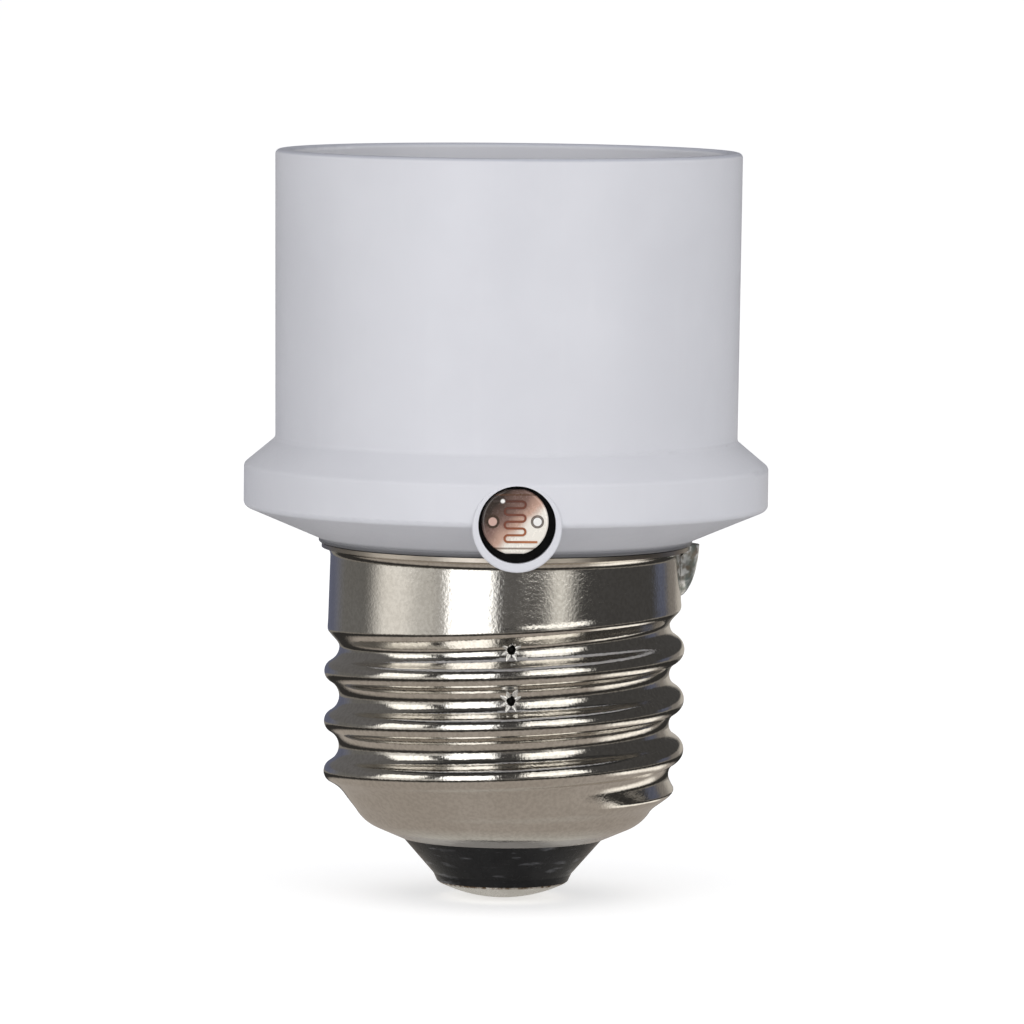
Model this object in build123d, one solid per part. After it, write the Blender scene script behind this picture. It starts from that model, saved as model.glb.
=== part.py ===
"""Screw-in lamp socket with a light sensor, modelled as an assembly.

Millimetres, +Z up along the screw axis, origin at the tip of the base contact.
The photocell looks out along -Y and the side solder is on +X.
"""
import math
import os

from build123d import *

# Lamp thread, the same outside and inside
PITCH = 3.629
SHEET = 0.3
CREST_SHARE = 0.42

# Clearances
LIP_CLEARANCE = 0.07
SPIGOT_CLEARANCE = 0.1
CORE_CLEARANCE = 0.1
SHELL_CLEARANCE = 0.17
SLEEVE_CLEARANCE = 0.03
SEAT_CLEARANCE = 0.03
SHANK_CLEARANCE = 0.05
HOLE_CLEARANCE = 0.1
BOARD_CLEARANCE = 0.2
LEAD_CLEARANCE = 0.2
SOLDER_CLEARANCE = 0.02

# Screw base
CREST_R = 13.0
THREAD_DEPTH = 1.08
FIRST_CREST = 2.86
BASE_SHELL_H = 21.25
BAND_TOP_IN = 0.38
BAND_FOOT_IN = 0.27
BAND_H = 4.78
BAND_RUN = 1.9
LIP_OUT = 0.65
LIP_BEND = 0.5
SHOULDER_IN = 1.95
SHOULDER_BEND = 2.9
SHOULDER_SLOPE = 23.5
SHOULDER_RUN_UP = 1.2
SHOULDER_RUN_DOWN = 0.8
FOOT_HOLE_R = 7.5
STAKE_R = 0.35
STAKE_DEPTH = 0.5
STAKE_ANGLE = -90.0
STAKE_TURNS = (2, 3)

# Insulator and tip contact
CONTACT_H = 1.2
CONTACT_R = 4.6
CONTACT_EDGE = 0.12
CONTACT_STEM_R = 1.0
CONTACT_STEM_BORE_R = 0.4
CONTACT_STEM_OUT = 0.5
INSULATOR_H = 3.2
INSULATOR_FOOT_OUT = 0.15
INSULATOR_EDGE_OUT = 0.4
INSULATOR_EDGE_H = 0.55
INSULATOR_PLUG_OUT = 1.5
INSULATOR_PLUG_H = 1.95
INSULATOR_ROUND = 0.25

# Socket insert
SOCKET_CREST_R = 12.2
SOCKET_DEPTH = 1.08
SOCKET_COLLAR_OUT = 1.1
SOCKET_COLLAR_H = 1.4
SOCKET_FOOT_OUT = 0.2
SOCKET_FOOT_H = 1.9
SOCKET_RUN = 1.5
SOCKET_LIP_OUT = 1.1
SOCKET_LIP_BEND = 0.5
SOCKET_FLANGE_LAND = 1.5
SOCKET_FLANGE_BEND = 0.6
CORE_WALL = 1.45
CORE_H = 18.0
CORE_FLOOR_T = 1.5
CORE_ROUND = 0.3
PEG_R = 1.2
PEG_H = 1.2
SHELL_RIVET_IN = 2.07
SHELL_RIVET_ANGLE = 60.0
RIVET_R = 0.9
RIVET_HEAD_R = 1.2
RIVET_HEAD_T = 0.5
RIVET_FOOT_R = 1.2
RIVET_FOOT_T = 0.5

# Housing
MOUTH_STEP = 0.2
SKIRT_WALL = 1.3
SKIRT_DRAFT = 0.15
SKIRT_H = 20.76
CHAMFER_H = 1.87
COLLAR_OUT = 2.25
COLLAR_H = 2.97
TAPER_H = 2.63
TAPER_OVERHANG = 0.2
TAPER_EDGE = 0.33
RIM_ROUND = 0.35
COLLAR_ROUND = 0.45
FOOT_ROUND = 0.12
BOARD_DROP = 2.8
BOARD_LEDGE = 1.1
SPIGOT_WALL = 1.65
SPIGOT_LIFT = 0.6
LUG_COUNT = 4
LUG_ARC = 14.0
LUG_DEPTH = 0.35
LUG_H = 0.8
LUG_LEDGE = 0.3

# Photocell and its boss
BOSS_WALL = 0.42
BOSS_DROP = 0.06
BOSS_END_GAP = 0.75
BOSS_INSET = 0.05
BOSS_ROUND = 0.12
HOLE_ROOM = 0.37
HOLE_RISE = 0.21
CELL_R = 2.35
CELL_FLAT = 2.26
CELL_T = 1.9
CELL_RECESS = 0.25
CELL_SHIFT_X = -0.14
CELL_SHIFT_Z = 0.22
CELL_ROUND = 0.2
SLEEVE_RECESS = 0.5
TRACK_ROWS = 7
TRACK_PITCH = 0.475
TRACK_SPAN = 1.45
TRACK_W = 0.15
TRACK_T = 0.05
CELL_LEAD_PITCH = 3.13
CELL_LEAD_R = 0.25
CELL_HEAD_R = 0.36
CELL_HEAD_T = 0.08
CELL_LEAD_IN = 0.87
CELL_LEAD_BEND = 1.0

# Side solder and the neutral wire under it
BLOB_OUT = 1.4
BLOB_HALF_W = 1.45
BLOB_H = 3.8
BLOB_TOP_GAP = 0.06
NOTCH_W = 1.1
NEUTRAL_HOLE_IN = 1.5
NEUTRAL_BEND = 0.6
NEUTRAL_RUN = 2.4

# Centre contact
LEAF_W = 4.4
LEAF_T = 0.35
LEAF_TOP_Y = 1.7
LEAF_FLANGE_GAP = 0.7
LEAF_FOOT = 3.1
LEAF_RIVET_IN = 1.4
LEAF_TIP_Y = -2.3
LEAF_RISE = 2.2
LEAF_BEND = 0.7
BUTTON_R = 1.9
BUTTON_H = 0.8
BUTTON_EDGE = 0.2
BUTTON_SHANK_R = 0.8
BUTTON_TAIL_R = 1.15
BUTTON_TAIL_T = 0.25

# Circuit board; each part's place is a share of the spigot's bore
BOARD_T = 1.2
WIRE_R = 0.3
LINE_WIRE_R = 0.75
LINE_STRIP = 2.0
LINE_BARE = 0.5
LEAD_END = 0.6
WIRE_BEND = 0.7
STAND_OFF = 0.3
JOINT_R = 0.6
JOINT_H = 0.5
RESISTOR_R = 0.95
RESISTOR_CAP_R = 1.15
RESISTOR_CAP_L = 1.3
RESISTOR_L = 6.2
RESISTOR_SPAN = 8.2
GATE_RESISTOR_AT = (0.33, -0.3)
DIVIDER_RESISTOR_AT = (0.61, -0.22)
DIAC_R = 0.9
DIAC_L = 3.5
DIAC_SPAN = 5.6
DIAC_AT = (0.47, 0.5)
CAPACITOR_X = 3.6
CAPACITOR_Y = 8.0
CAPACITOR_Z = 7.6
CAPACITOR_SPAN = 5.0
CAPACITOR_AT = (-0.53, 0.18)
CAPACITOR_ROUND = 0.5
TRIAC_R = 2.3
TRIAC_FLAT = 1.3
TRIAC_H = 4.6
TRIAC_LEG_GAP = 1.27
TRIAC_LEG_L = 2.5
TRIAC_AT = (-0.37, -0.53)

# Radii that follow, base first and then outward from the lamp
BAND_TOP_R = CREST_R - BAND_TOP_IN
BAND_FOOT_R = CREST_R - BAND_FOOT_IN
LIP_R = BAND_TOP_R + LIP_OUT
SHOULDER_R = CREST_R - SHOULDER_IN
TAPER_FOOT_R = LIP_R + TAPER_OVERHANG
SPIGOT_R = CREST_R - THREAD_DEPTH - SHEET - SPIGOT_CLEARANCE
NECK_R = BAND_TOP_R - SHEET - SPIGOT_CLEARANCE
SPIGOT_BORE_R = SPIGOT_R - SPIGOT_WALL
CHAMBER_R = SPIGOT_BORE_R + BOARD_LEDGE
SOCKET_COLLAR_R = SOCKET_CREST_R + SOCKET_COLLAR_OUT
SOCKET_FOOT_R = SOCKET_CREST_R + SOCKET_FOOT_OUT
SOCKET_LIP_R = SOCKET_COLLAR_R + SOCKET_LIP_OUT
CORE_BORE_R = SOCKET_CREST_R + SOCKET_DEPTH + SHEET + SHELL_CLEARANCE
CORE_R = CORE_BORE_R + CORE_WALL
POCKET_R = CORE_R + CORE_CLEARANCE
MOUTH_R = POCKET_R + MOUTH_STEP
RIM_R = MOUTH_R + SKIRT_WALL
SKIRT_FOOT_R = RIM_R - SKIRT_DRAFT
COLLAR_R = SKIRT_FOOT_R + COLLAR_OUT
PEG_PLACE_R = (CHAMBER_R + POCKET_R) / 2.0
SHELL_RIVET_PLACE_R = CHAMBER_R - SHELL_RIVET_IN
SOCKET_FLANGE_HOLE_R = SHELL_RIVET_PLACE_R - SOCKET_FLANGE_LAND

# Levels, worked up from the tip
FOOT_Z = CONTACT_H + INSULATOR_H
LIP_Z = FOOT_Z + BASE_SHELL_H
TAPER_Z = LIP_Z + LIP_CLEARANCE
COLLAR_FOOT_Z = TAPER_Z + TAPER_H
COLLAR_TOP_Z = COLLAR_FOOT_Z + COLLAR_H
SKIRT_FOOT_Z = COLLAR_TOP_Z + CHAMFER_H
RIM_Z = SKIRT_FOOT_Z + SKIRT_H
BAND_FOOT_Z = LIP_Z - BAND_H
BAND_HEAD_Z = LIP_Z - SHEET - LIP_BEND
BAND_CLIMB = PITCH / 4.0
NECK_FOOT_Z = BAND_FOOT_Z + BAND_CLIMB

# Curved foot of the base shell
SLOPE = math.radians(SHOULDER_SLOPE)
BEND_R = SHOULDER_R - SHOULDER_BEND
BEND_FOOT_R = BEND_R + SHOULDER_BEND * math.sin(SLOPE)
BEND_FOOT_Z = FOOT_Z + (BEND_FOOT_R - FOOT_HOLE_R) * math.tan(SLOPE)
BEND_Z = BEND_FOOT_Z + SHOULDER_BEND * math.cos(SLOPE)
THREAD_FOOT_Z = BEND_Z - SHOULDER_RUN_DOWN
SPIGOT_FOOT_Z = BEND_Z + SHOULDER_RUN_UP + SPIGOT_LIFT

# Photocell axis
HOLE_R = CELL_R + HOLE_ROOM
BOSS_R = HOLE_R + BOSS_WALL
BOSS_Z = COLLAR_FOOT_Z - BOSS_DROP
BOSS_LENGTH = COLLAR_R - BOSS_INSET - TAPER_FOOT_R - BOSS_END_GAP
HOLE_Z = BOSS_Z + HOLE_RISE
BOSS_FACE_Y = -COLLAR_R + BOSS_INSET
CELL_X = CELL_SHIFT_X
CELL_Z = HOLE_Z + CELL_SHIFT_Z
CELL_FACE_Y = BOSS_FACE_Y + CELL_RECESS
CELL_BACK_Y = CELL_FACE_Y + CELL_T
CELL_LEAD_DOWN_Y = CELL_LEAD_IN - SPIGOT_BORE_R

# Levels of the insert, over the photocell's leads, and of the board
CORE_SEAT_Z = CELL_Z + CELL_LEAD_R + LEAD_CLEARANCE
CORE_TOP_Z = CORE_SEAT_Z + CORE_H
LUG_Z = CORE_TOP_Z + CORE_CLEARANCE
MOUTH_FOOT_Z = LUG_Z + LUG_H + LUG_LEDGE
FLOOR_Z = CORE_SEAT_Z + CORE_FLOOR_T
FLANGE_Z = FLOOR_Z + SEAT_CLEARANCE
BOARD_SEAT_Z = TAPER_Z - BOARD_DROP
BOARD_TOP_Z = BOARD_SEAT_Z + BOARD_T

# Centre contact, along Y
LEAF_END_Y = SOCKET_FLANGE_HOLE_R - LEAF_FLANGE_GAP
LEAF_RISE_Y = LEAF_END_Y - LEAF_FOOT
LEAF_RIVET_Y = LEAF_END_Y - LEAF_RIVET_IN

# Neutral wire
NEUTRAL_Z = LIP_Z - SHEET - WIRE_R + HOLE_CLEARANCE
NEUTRAL_OUT_R = BAND_FOOT_R + WIRE_R + SOLDER_CLEARANCE
NEUTRAL_HOLE_X = SPIGOT_BORE_R - NEUTRAL_HOLE_IN

# Fineness of the rolled shells
LOFT_SECTIONS = 16
SPLINE_STEP = PITCH / 10.0
ARC_STEPS = 4


def at_angle(radius, degrees):
    """Plan position on a circle about the screw axis."""
    turn = math.radians(degrees)
    return radius * math.cos(turn), radius * math.sin(turn)


def turned(points, rounds=()):
    """Solid of revolution about Z; rounds holds (corner, radius) pairs."""
    face = make_face(Polyline(*points, close=True))
    for corner, radius in rounds:
        face = fillet(face.vertices().sort_by_distance((*corner, 0))[0], radius)
    return revolve(Plane.XZ * face, Axis.Z)


def peg(radius, foot, height, place=(0.0, 0.0)):
    """Upright cylinder standing on a level."""
    return extrude(Pos(*place, foot) * Circle(radius), height)


def wire_along(points, bend, radius):
    """Round wire of straight runs joined by tangent bends."""
    path = FilletPolyline(*points, radius=bend)
    return sweep(Plane(origin=path @ 0, z_dir=path % 0) * Circle(radius), path=path)


def dome_arc(radius, height, foot_z):
    """Section of a shallow round dome from its foot to its pole; height may be negative."""
    sphere = (radius**2 + height**2) / (2.0 * abs(height))
    half = math.asin(radius / sphere) / 2.0
    sag = math.copysign(sphere * (1.0 - math.cos(half)), height)
    pole_z = foot_z + height
    return ThreePointArc((radius, foot_z), (sphere * math.sin(half), pole_z - sag), (0, pole_z))


def smooth(value):
    """Smooth step from 0 to 1."""
    value = min(1.0, max(0.0, value))
    return value * value * (3.0 - 2.0 * value)


def blend(low, high, share):
    return low + (high - low) * share


def ridge(offset, depth):
    """Height of the round thread above its root, offset mm along Z from a crest.

    The crest and the root are two tangent arcs that share the depth.
    """
    angle = 2.0 * math.atan(2.0 * depth / PITCH)
    both = PITCH / 2.0 / math.sin(angle)
    crest = CREST_SHARE * both
    root = both - crest
    along = abs((offset + PITCH / 2.0) % PITCH - PITCH / 2.0)
    if along <= crest * math.sin(angle):
        return depth - crest + math.sqrt(crest * crest - along * along)
    rest = PITCH / 2.0 - along
    return root - math.sqrt(root * root - rest * rest)


def crest_z(degrees, turns):
    """Level of the base thread's crest at an angle, turns above the lowest."""
    return FOOT_Z + FIRST_CREST + PITCH * (degrees / 360.0 + turns)


def base_radius(z, degrees, inset):
    """Base shell radius at a level and angle, inset from the outer face.

    The foot of the band climbs with the thread across the front, so the last ridge runs into it.
    """
    thread = CREST_R - THREAD_DEPTH + ridge(z - crest_z(degrees, 0), THREAD_DEPTH)
    band = blend(BAND_FOOT_R, BAND_TOP_R, (z - BAND_FOOT_Z) / (BAND_HEAD_Z - BAND_FOOT_Z))
    drop = min(0.0, z - BEND_Z)
    shoulder = BEND_R + math.sqrt((SHOULDER_BEND - inset) ** 2 - drop * drop) + inset
    climb = BAND_CLIMB * math.cos(math.radians(degrees))
    upper = smooth((z - BAND_FOOT_Z - climb + BAND_RUN) / BAND_RUN)
    lower = smooth((BEND_Z + SHOULDER_RUN_UP - z) / (SHOULDER_RUN_UP + SHOULDER_RUN_DOWN))
    return blend(blend(thread, band, upper), shoulder, lower) - inset


def socket_radius(z, degrees, outset):
    """Socket shell radius at a level and angle, outset from the inner face."""
    foot = FLOOR_Z + SOCKET_FOOT_H
    head = CORE_TOP_Z - SOCKET_COLLAR_H
    thread = SOCKET_CREST_R + ridge(z - foot - PITCH * degrees / 360.0, SOCKET_DEPTH)
    upper = smooth((z - head + SOCKET_RUN) / SOCKET_RUN)
    lower = smooth((foot + SOCKET_RUN - z) / SOCKET_RUN)
    return blend(blend(thread, SOCKET_COLLAR_R, upper), SOCKET_FOOT_R, lower) + outset


def straight(start, end):
    """Points along a straight stretch of a section, end left out."""
    count = math.ceil(math.dist(start, end) / SPLINE_STEP)
    shares = [step / count for step in range(count)]
    return [(blend(start[0], end[0], share), blend(start[1], end[1], share)) for share in shares]


def curved(centre, radius, start, end):
    """Points along an arc of a section, angles in degrees from +R, end left out."""
    shares = [step / ARC_STEPS for step in range(ARC_STEPS)]
    spots = [at_angle(radius, blend(start, end, share)) for share in shares]
    return [(centre[0] + r, centre[1] + z) for r, z in spots]


def walled(radius_at, degrees, offset, high, low):
    """Points down a threaded wall of a section, both ends included."""
    count = math.ceil((high - low) / SPLINE_STEP)
    zs = [blend(high, low, step / count) for step in range(count + 1)]
    return [(radius_at(z, degrees, offset), z) for z in zs]


def rolled(side):
    """Loft radial sections of a rolled sheet once round the axis into one solid.

    side(degrees, thickness) gives the (radius, z) points of one face of the sheet, for the
    thickness 0 and for the whole sheet.
    """
    sections = []
    for step in range(LOFT_SECTIONS):
        degrees = 360.0 * step / LOFT_SECTIONS
        near, far = [
            [Vector(*at_angle(radius, degrees), z) for radius, z in side(degrees, thickness)]
            for thickness in (0.0, SHEET)
        ]
        edges = [
            Edge.make_spline(near),
            Edge.make_line(near[-1], far[-1]),
            Edge.make_spline(far[::-1]),
            Edge.make_line(far[0], near[0]),
        ]
        sections.append(Wire(edges))
    return Solid.make_loft(sections + sections[:1])


def base_side(degrees, inset):
    """One face of the base shell: in under the lip, down the thread, in along the foot."""
    lip_z = LIP_Z - SHEET + inset
    lip_centre = (BAND_TOP_R + LIP_BEND, BAND_HEAD_Z)
    bend = SHOULDER_BEND - inset
    bend_start = math.degrees(math.asin(-SHOULDER_RUN_DOWN / bend))
    bend_end = SHOULDER_SLOPE - 90.0
    foot = (FOOT_HOLE_R - inset * math.sin(SLOPE), FOOT_Z + inset * math.cos(SLOPE))
    bend_r, bend_z = at_angle(bend, bend_end)
    points = straight((LIP_R, lip_z), (lip_centre[0], lip_z))
    points += curved(lip_centre, LIP_BEND + inset, 90.0, 180.0)
    points += walled(base_radius, degrees, inset, BAND_HEAD_Z, THREAD_FOOT_Z)
    points += curved((BEND_R, BEND_Z), bend, bend_start, bend_end)[1:]
    points += straight((BEND_R + bend_r, BEND_Z + bend_z), foot)
    return points + [foot]


def socket_side(degrees, outset):
    """One face of the socket shell: over the lip, down the thread, in along the flange."""
    bend = SOCKET_LIP_BEND + SHEET - outset
    turn = SOCKET_FLANGE_BEND + outset
    lip_centre = (SOCKET_COLLAR_R + SHEET + SOCKET_LIP_BEND, CORE_TOP_Z + SEAT_CLEARANCE - SOCKET_LIP_BEND)
    turn_centre = (SOCKET_FOOT_R - SOCKET_FLANGE_BEND, FLANGE_Z + SHEET + SOCKET_FLANGE_BEND)
    flange_z = turn_centre[1] - turn
    hole = (SOCKET_FLANGE_HOLE_R, flange_z)
    points = straight((SOCKET_LIP_R, lip_centre[1] + bend), (lip_centre[0], lip_centre[1] + bend))
    points += curved(lip_centre, bend, 90.0, 180.0)
    points += walled(socket_radius, degrees, outset, lip_centre[1], turn_centre[1])
    points += curved(turn_centre, turn, 0.0, -90.0)[1:]
    points += straight((turn_centre[0], flange_z), hole)
    return points + [hole]


def stakes(radius):
    """Radial cutters for the punch marks that fix the base shell to the spigot."""
    x, y = at_angle(CREST_R, STAKE_ANGLE)
    inward = Vector(-x, -y, 0).normalized()
    cutters = []
    for turns in STAKE_TURNS:
        start = Plane(origin=(x, y, crest_z(STAKE_ANGLE, turns + 0.5)), z_dir=inward)
        cutters.append(extrude(start * Circle(radius), THREAD_DEPTH + SHEET + STAKE_DEPTH))
    return cutters


def shell_rivet_places():
    return [at_angle(SHELL_RIVET_PLACE_R, SHELL_RIVET_ANGLE + half) for half in (0.0, 180.0)]


def peg_places():
    return [at_angle(PEG_PLACE_R, half) for half in (0.0, 180.0)]


def make_housing():
    """One moulding: skirt, collar, sensor boss and the spigot inside the base shell."""
    body = turned(
        [
            (SPIGOT_BORE_R, SPIGOT_FOOT_Z),
            (SPIGOT_R, SPIGOT_FOOT_Z),
            (SPIGOT_R, NECK_FOOT_Z),
            (NECK_R, NECK_FOOT_Z),
            (NECK_R, TAPER_Z),
            (TAPER_FOOT_R, TAPER_Z),
            (TAPER_FOOT_R, TAPER_Z + TAPER_EDGE),
            (COLLAR_R, COLLAR_FOOT_Z),
            (COLLAR_R, COLLAR_TOP_Z),
            (SKIRT_FOOT_R, SKIRT_FOOT_Z),
            (RIM_R, RIM_Z),
            (MOUTH_R, RIM_Z),
            (MOUTH_R, MOUTH_FOOT_Z),
            (POCKET_R, MOUTH_FOOT_Z),
            (POCKET_R, CORE_SEAT_Z),
            (CHAMBER_R, CORE_SEAT_Z),
            (CHAMBER_R, BOARD_SEAT_Z),
            (SPIGOT_BORE_R, BOARD_SEAT_Z),
        ],
        (
            ((COLLAR_R, COLLAR_FOOT_Z), COLLAR_ROUND),
            ((COLLAR_R, COLLAR_TOP_Z), COLLAR_ROUND),
            ((SKIRT_FOOT_R, SKIRT_FOOT_Z), COLLAR_ROUND),
            ((TAPER_FOOT_R, TAPER_Z), FOOT_ROUND),
            ((RIM_R, RIM_Z), RIM_ROUND),
            ((MOUTH_R, RIM_Z), RIM_ROUND),
        ),
    )
    face = Plane(origin=(0, BOSS_FACE_Y, BOSS_Z), x_dir=(1, 0, 0), z_dir=(0, 1, 0))
    boss = extrude(face * Circle(BOSS_R), BOSS_LENGTH)
    boss = fillet(boss.edges().group_by(Axis.Y)[0], BOSS_ROUND)
    boss -= peg(POCKET_R, CORE_SEAT_Z, COLLAR_H)
    mouth = Plane(origin=(0, -COLLAR_R - BOSS_INSET, HOLE_Z), x_dir=(1, 0, 0), z_dir=(0, 1, 0))
    tunnel = extrude(mouth * Circle(HOLE_R), CELL_BACK_Y + COLLAR_R + BOSS_INSET)
    body = body + boss - tunnel
    slot_w = CELL_LEAD_PITCH + 2.0 * (CELL_LEAD_R + LEAD_CLEARANCE)
    slot_foot = CELL_Z - CELL_LEAD_R - LEAD_CLEARANCE
    slot_size = (slot_w, -SPIGOT_BORE_R - CELL_BACK_Y, CORE_SEAT_Z - slot_foot)
    slot = Box(*slot_size, align=(Align.CENTER, Align.MIN, Align.MIN))
    body -= Pos(CELL_X, CELL_BACK_Y, slot_foot) * slot
    exit_r = WIRE_R + HOLE_CLEARANCE
    way_out = Plane(origin=(SPIGOT_BORE_R, 0, NEUTRAL_Z), z_dir=(1, 0, 0))
    body -= extrude(way_out * Circle(exit_r), LIP_R - SPIGOT_BORE_R)
    for place in peg_places():
        body -= peg(PEG_R + CORE_CLEARANCE, CORE_SEAT_Z - PEG_H - CORE_CLEARANCE, CORE_H, place)
    for cutter in stakes(STAKE_R):
        body -= cutter
    lug = make_face(
        Polyline(
            (POCKET_R + LUG_DEPTH, LUG_Z),
            (POCKET_R - LUG_DEPTH, LUG_Z),
            (POCKET_R, LUG_Z + LUG_H),
            (POCKET_R + LUG_DEPTH, LUG_Z + LUG_H),
            close=True,
        )
    )
    lug = revolve(Plane.XZ * lug, Axis.Z, LUG_ARC)
    for step in range(LUG_COUNT):
        body += Rot(0, 0, (step + 0.5) * 360.0 / LUG_COUNT - LUG_ARC / 2.0) * lug
    return body


def make_base_shell():
    """Rolled screw shell with its punch marks and the notch for the neutral wire."""
    shell = rolled(base_side)
    for cutter in stakes(STAKE_R):
        shell -= cutter
    notch_foot = NEUTRAL_Z - WIRE_R - HOLE_CLEARANCE
    notch = Box(LIP_R, NOTCH_W, LIP_Z, align=(Align.MIN, Align.CENTER, Align.MIN))
    return shell - Pos(SPIGOT_BORE_R, 0, notch_foot) * notch


def make_base_insulator():
    """Black cone under the shell, with the plug that holds it in the shell's foot."""
    neck_r = FOOT_HOLE_R - SHEET * math.sin(SLOPE) - 2.0 * SEAT_CLEARANCE
    bore_r = CONTACT_STEM_R + SHANK_CLEARANCE

    def over_foot(radius):
        lift = (SHEET + SEAT_CLEARANCE) / math.cos(SLOPE)
        return FOOT_Z + (radius - FOOT_HOLE_R) * math.tan(SLOPE) + lift

    plug_r = FOOT_HOLE_R + INSULATOR_PLUG_OUT
    edge = (CONTACT_R + INSULATOR_EDGE_OUT, CONTACT_H + INSULATOR_EDGE_H)
    return turned(
        [
            (bore_r, CONTACT_H),
            (CONTACT_R + INSULATOR_FOOT_OUT, CONTACT_H),
            edge,
            (neck_r, FOOT_Z),
            (neck_r, over_foot(neck_r)),
            (plug_r, over_foot(plug_r)),
            (plug_r, FOOT_Z + INSULATOR_PLUG_H),
            (bore_r, FOOT_Z + INSULATOR_PLUG_H),
        ],
        ((edge, INSULATOR_ROUND),),
    )


def contact_stem_top():
    return FOOT_Z + INSULATOR_PLUG_H + CONTACT_STEM_OUT


def make_base_contact():
    """Domed tip contact with the hollow stem that takes the line wire."""
    stem_top = contact_stem_top()
    edge_z = CONTACT_H - CONTACT_EDGE
    rest = Polyline(
        (0, 0),
        (0, CONTACT_H),
        (CONTACT_STEM_BORE_R, CONTACT_H),
        (CONTACT_STEM_BORE_R, stem_top),
        (CONTACT_STEM_R, stem_top),
        (CONTACT_STEM_R, CONTACT_H),
        (CONTACT_R, CONTACT_H),
        (CONTACT_R, edge_z),
    )
    return revolve(Plane.XZ * make_face(dome_arc(CONTACT_R, -edge_z, edge_z) + rest), Axis.Z)


def make_side_solder():
    """Teardrop of solder over the wire end, shaped to the band and the lip."""
    top_z = TAPER_Z - BLOB_TOP_GAP
    outline = ThreePointArc((0, -1), (0.66, -0.68), (1, 0)) + Polyline((1, 0), (0, 0), (0, -1))
    drop = revolve(Plane.XZ * make_face(outline), Axis.Z)
    drop = Pos(BAND_TOP_R, 0, top_z) * scale(drop, by=(BLOB_OUT, BLOB_HALF_W, BLOB_H))
    gap = SOLDER_CLEARANCE
    foot_z = top_z - 2.0 * BLOB_H
    lip_under = LIP_Z - SHEET - gap
    band = turned(
        [
            (0, foot_z),
            (CREST_R + gap, foot_z),
            (BAND_FOOT_R + gap, BAND_FOOT_Z),
            (BAND_TOP_R + gap, BAND_HEAD_Z),
            (BAND_TOP_R + LIP_BEND, lip_under),
            (LIP_R + gap, lip_under),
            (LIP_R + gap, LIP_Z + BLOB_H),
            (0, LIP_Z + BLOB_H),
        ]
    )
    return drop - band - neutral_wire(WIRE_R + gap)


def neutral_wire(radius):
    """Wire from the board, out under the lip's notch and down the band."""
    points = [
        (NEUTRAL_HOLE_X, 0, BOARD_SEAT_Z),
        (NEUTRAL_HOLE_X, 0, NEUTRAL_Z),
        (NEUTRAL_OUT_R, 0, NEUTRAL_Z),
        (NEUTRAL_OUT_R, 0, NEUTRAL_Z - NEUTRAL_RUN),
    ]
    return wire_along(points, NEUTRAL_BEND, radius)


def make_neutral_lead():
    return neutral_wire(WIRE_R)


def make_socket_core():
    """Insert with the lamp well; its pegs stop it turning in the housing."""
    core = turned(
        [
            (0, CORE_SEAT_Z),
            (CORE_R, CORE_SEAT_Z),
            (CORE_R, CORE_TOP_Z),
            (CORE_BORE_R, CORE_TOP_Z),
            (CORE_BORE_R, FLOOR_Z),
            (0, FLOOR_Z),
        ],
        (
            ((CORE_R, CORE_TOP_Z), CORE_ROUND),
            ((CORE_BORE_R, CORE_TOP_Z), SOCKET_LIP_BEND),
        ),
    )
    for place in peg_places():
        core += peg(PEG_R, CORE_SEAT_Z - PEG_H, PEG_H, place)
    for place in shell_rivet_places() + [(0, LEAF_RIVET_Y)]:
        core -= peg(RIVET_R + SHANK_CLEARANCE, CORE_SEAT_Z, CORE_FLOOR_T, place)
    return core


def make_socket_shell():
    """Rolled female screw shell, riveted to the core's floor through its flange."""
    shell = rolled(socket_side)
    for place in shell_rivet_places():
        shell -= peg(RIVET_R + SHANK_CLEARANCE, FLOOR_Z - SHEET, 3.0 * SHEET, place)
    return shell


def rivet(head_z, place):
    """Round-head rivet from a face down through the core's floor."""
    foot_z = CORE_SEAT_Z - RIVET_FOOT_T
    head = peg(RIVET_HEAD_R, head_z, RIVET_HEAD_T, place)
    head = fillet(head.edges().group_by(Axis.Z)[-1], RIVET_HEAD_T * 0.7)
    shank = peg(RIVET_R, foot_z, head_z - foot_z, place)
    return head + shank + peg(RIVET_FOOT_R, foot_z, RIVET_FOOT_T, place)


def make_shell_rivets():
    return Compound([rivet(FLANGE_Z + SHEET, place).solid() for place in shell_rivet_places()])


def make_leaf_rivet():
    return rivet(FLOOR_Z + LEAF_T, (0, LEAF_RIVET_Y))


def leaf_top_z():
    return FLOOR_Z + LEAF_T + LEAF_RISE


def make_contact_leaf():
    """Bent spring strip: foot on the floor, slope, and a level tip under the button."""
    low = FLOOR_Z + LEAF_T / 2.0
    path = FilletPolyline(
        (0, LEAF_END_Y, low),
        (0, LEAF_RISE_Y, low),
        (0, LEAF_TOP_Y, low + LEAF_RISE),
        (0, LEAF_TIP_Y, low + LEAF_RISE),
        radius=LEAF_BEND,
    )
    start = Plane(origin=path @ 0, x_dir=(1, 0, 0), z_dir=path % 0)
    strip = sweep(start * Rectangle(LEAF_W, LEAF_T), path=path)
    middle = Pos(0, (LEAF_END_Y + LEAF_TIP_Y) / 2.0, FLOOR_Z)
    plan = middle * RectangleRounded(LEAF_W, LEAF_END_Y - LEAF_TIP_Y, LEAF_W * 0.45)
    leaf = strip & extrude(plan, LEAF_RISE + LEAF_T)
    leaf -= peg(RIVET_R + SHANK_CLEARANCE, FLOOR_Z, LEAF_T, (0, LEAF_RIVET_Y))
    return leaf - peg(BUTTON_SHANK_R + HOLE_CLEARANCE, FLOOR_Z + LEAF_RISE, LEAF_T)


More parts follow.
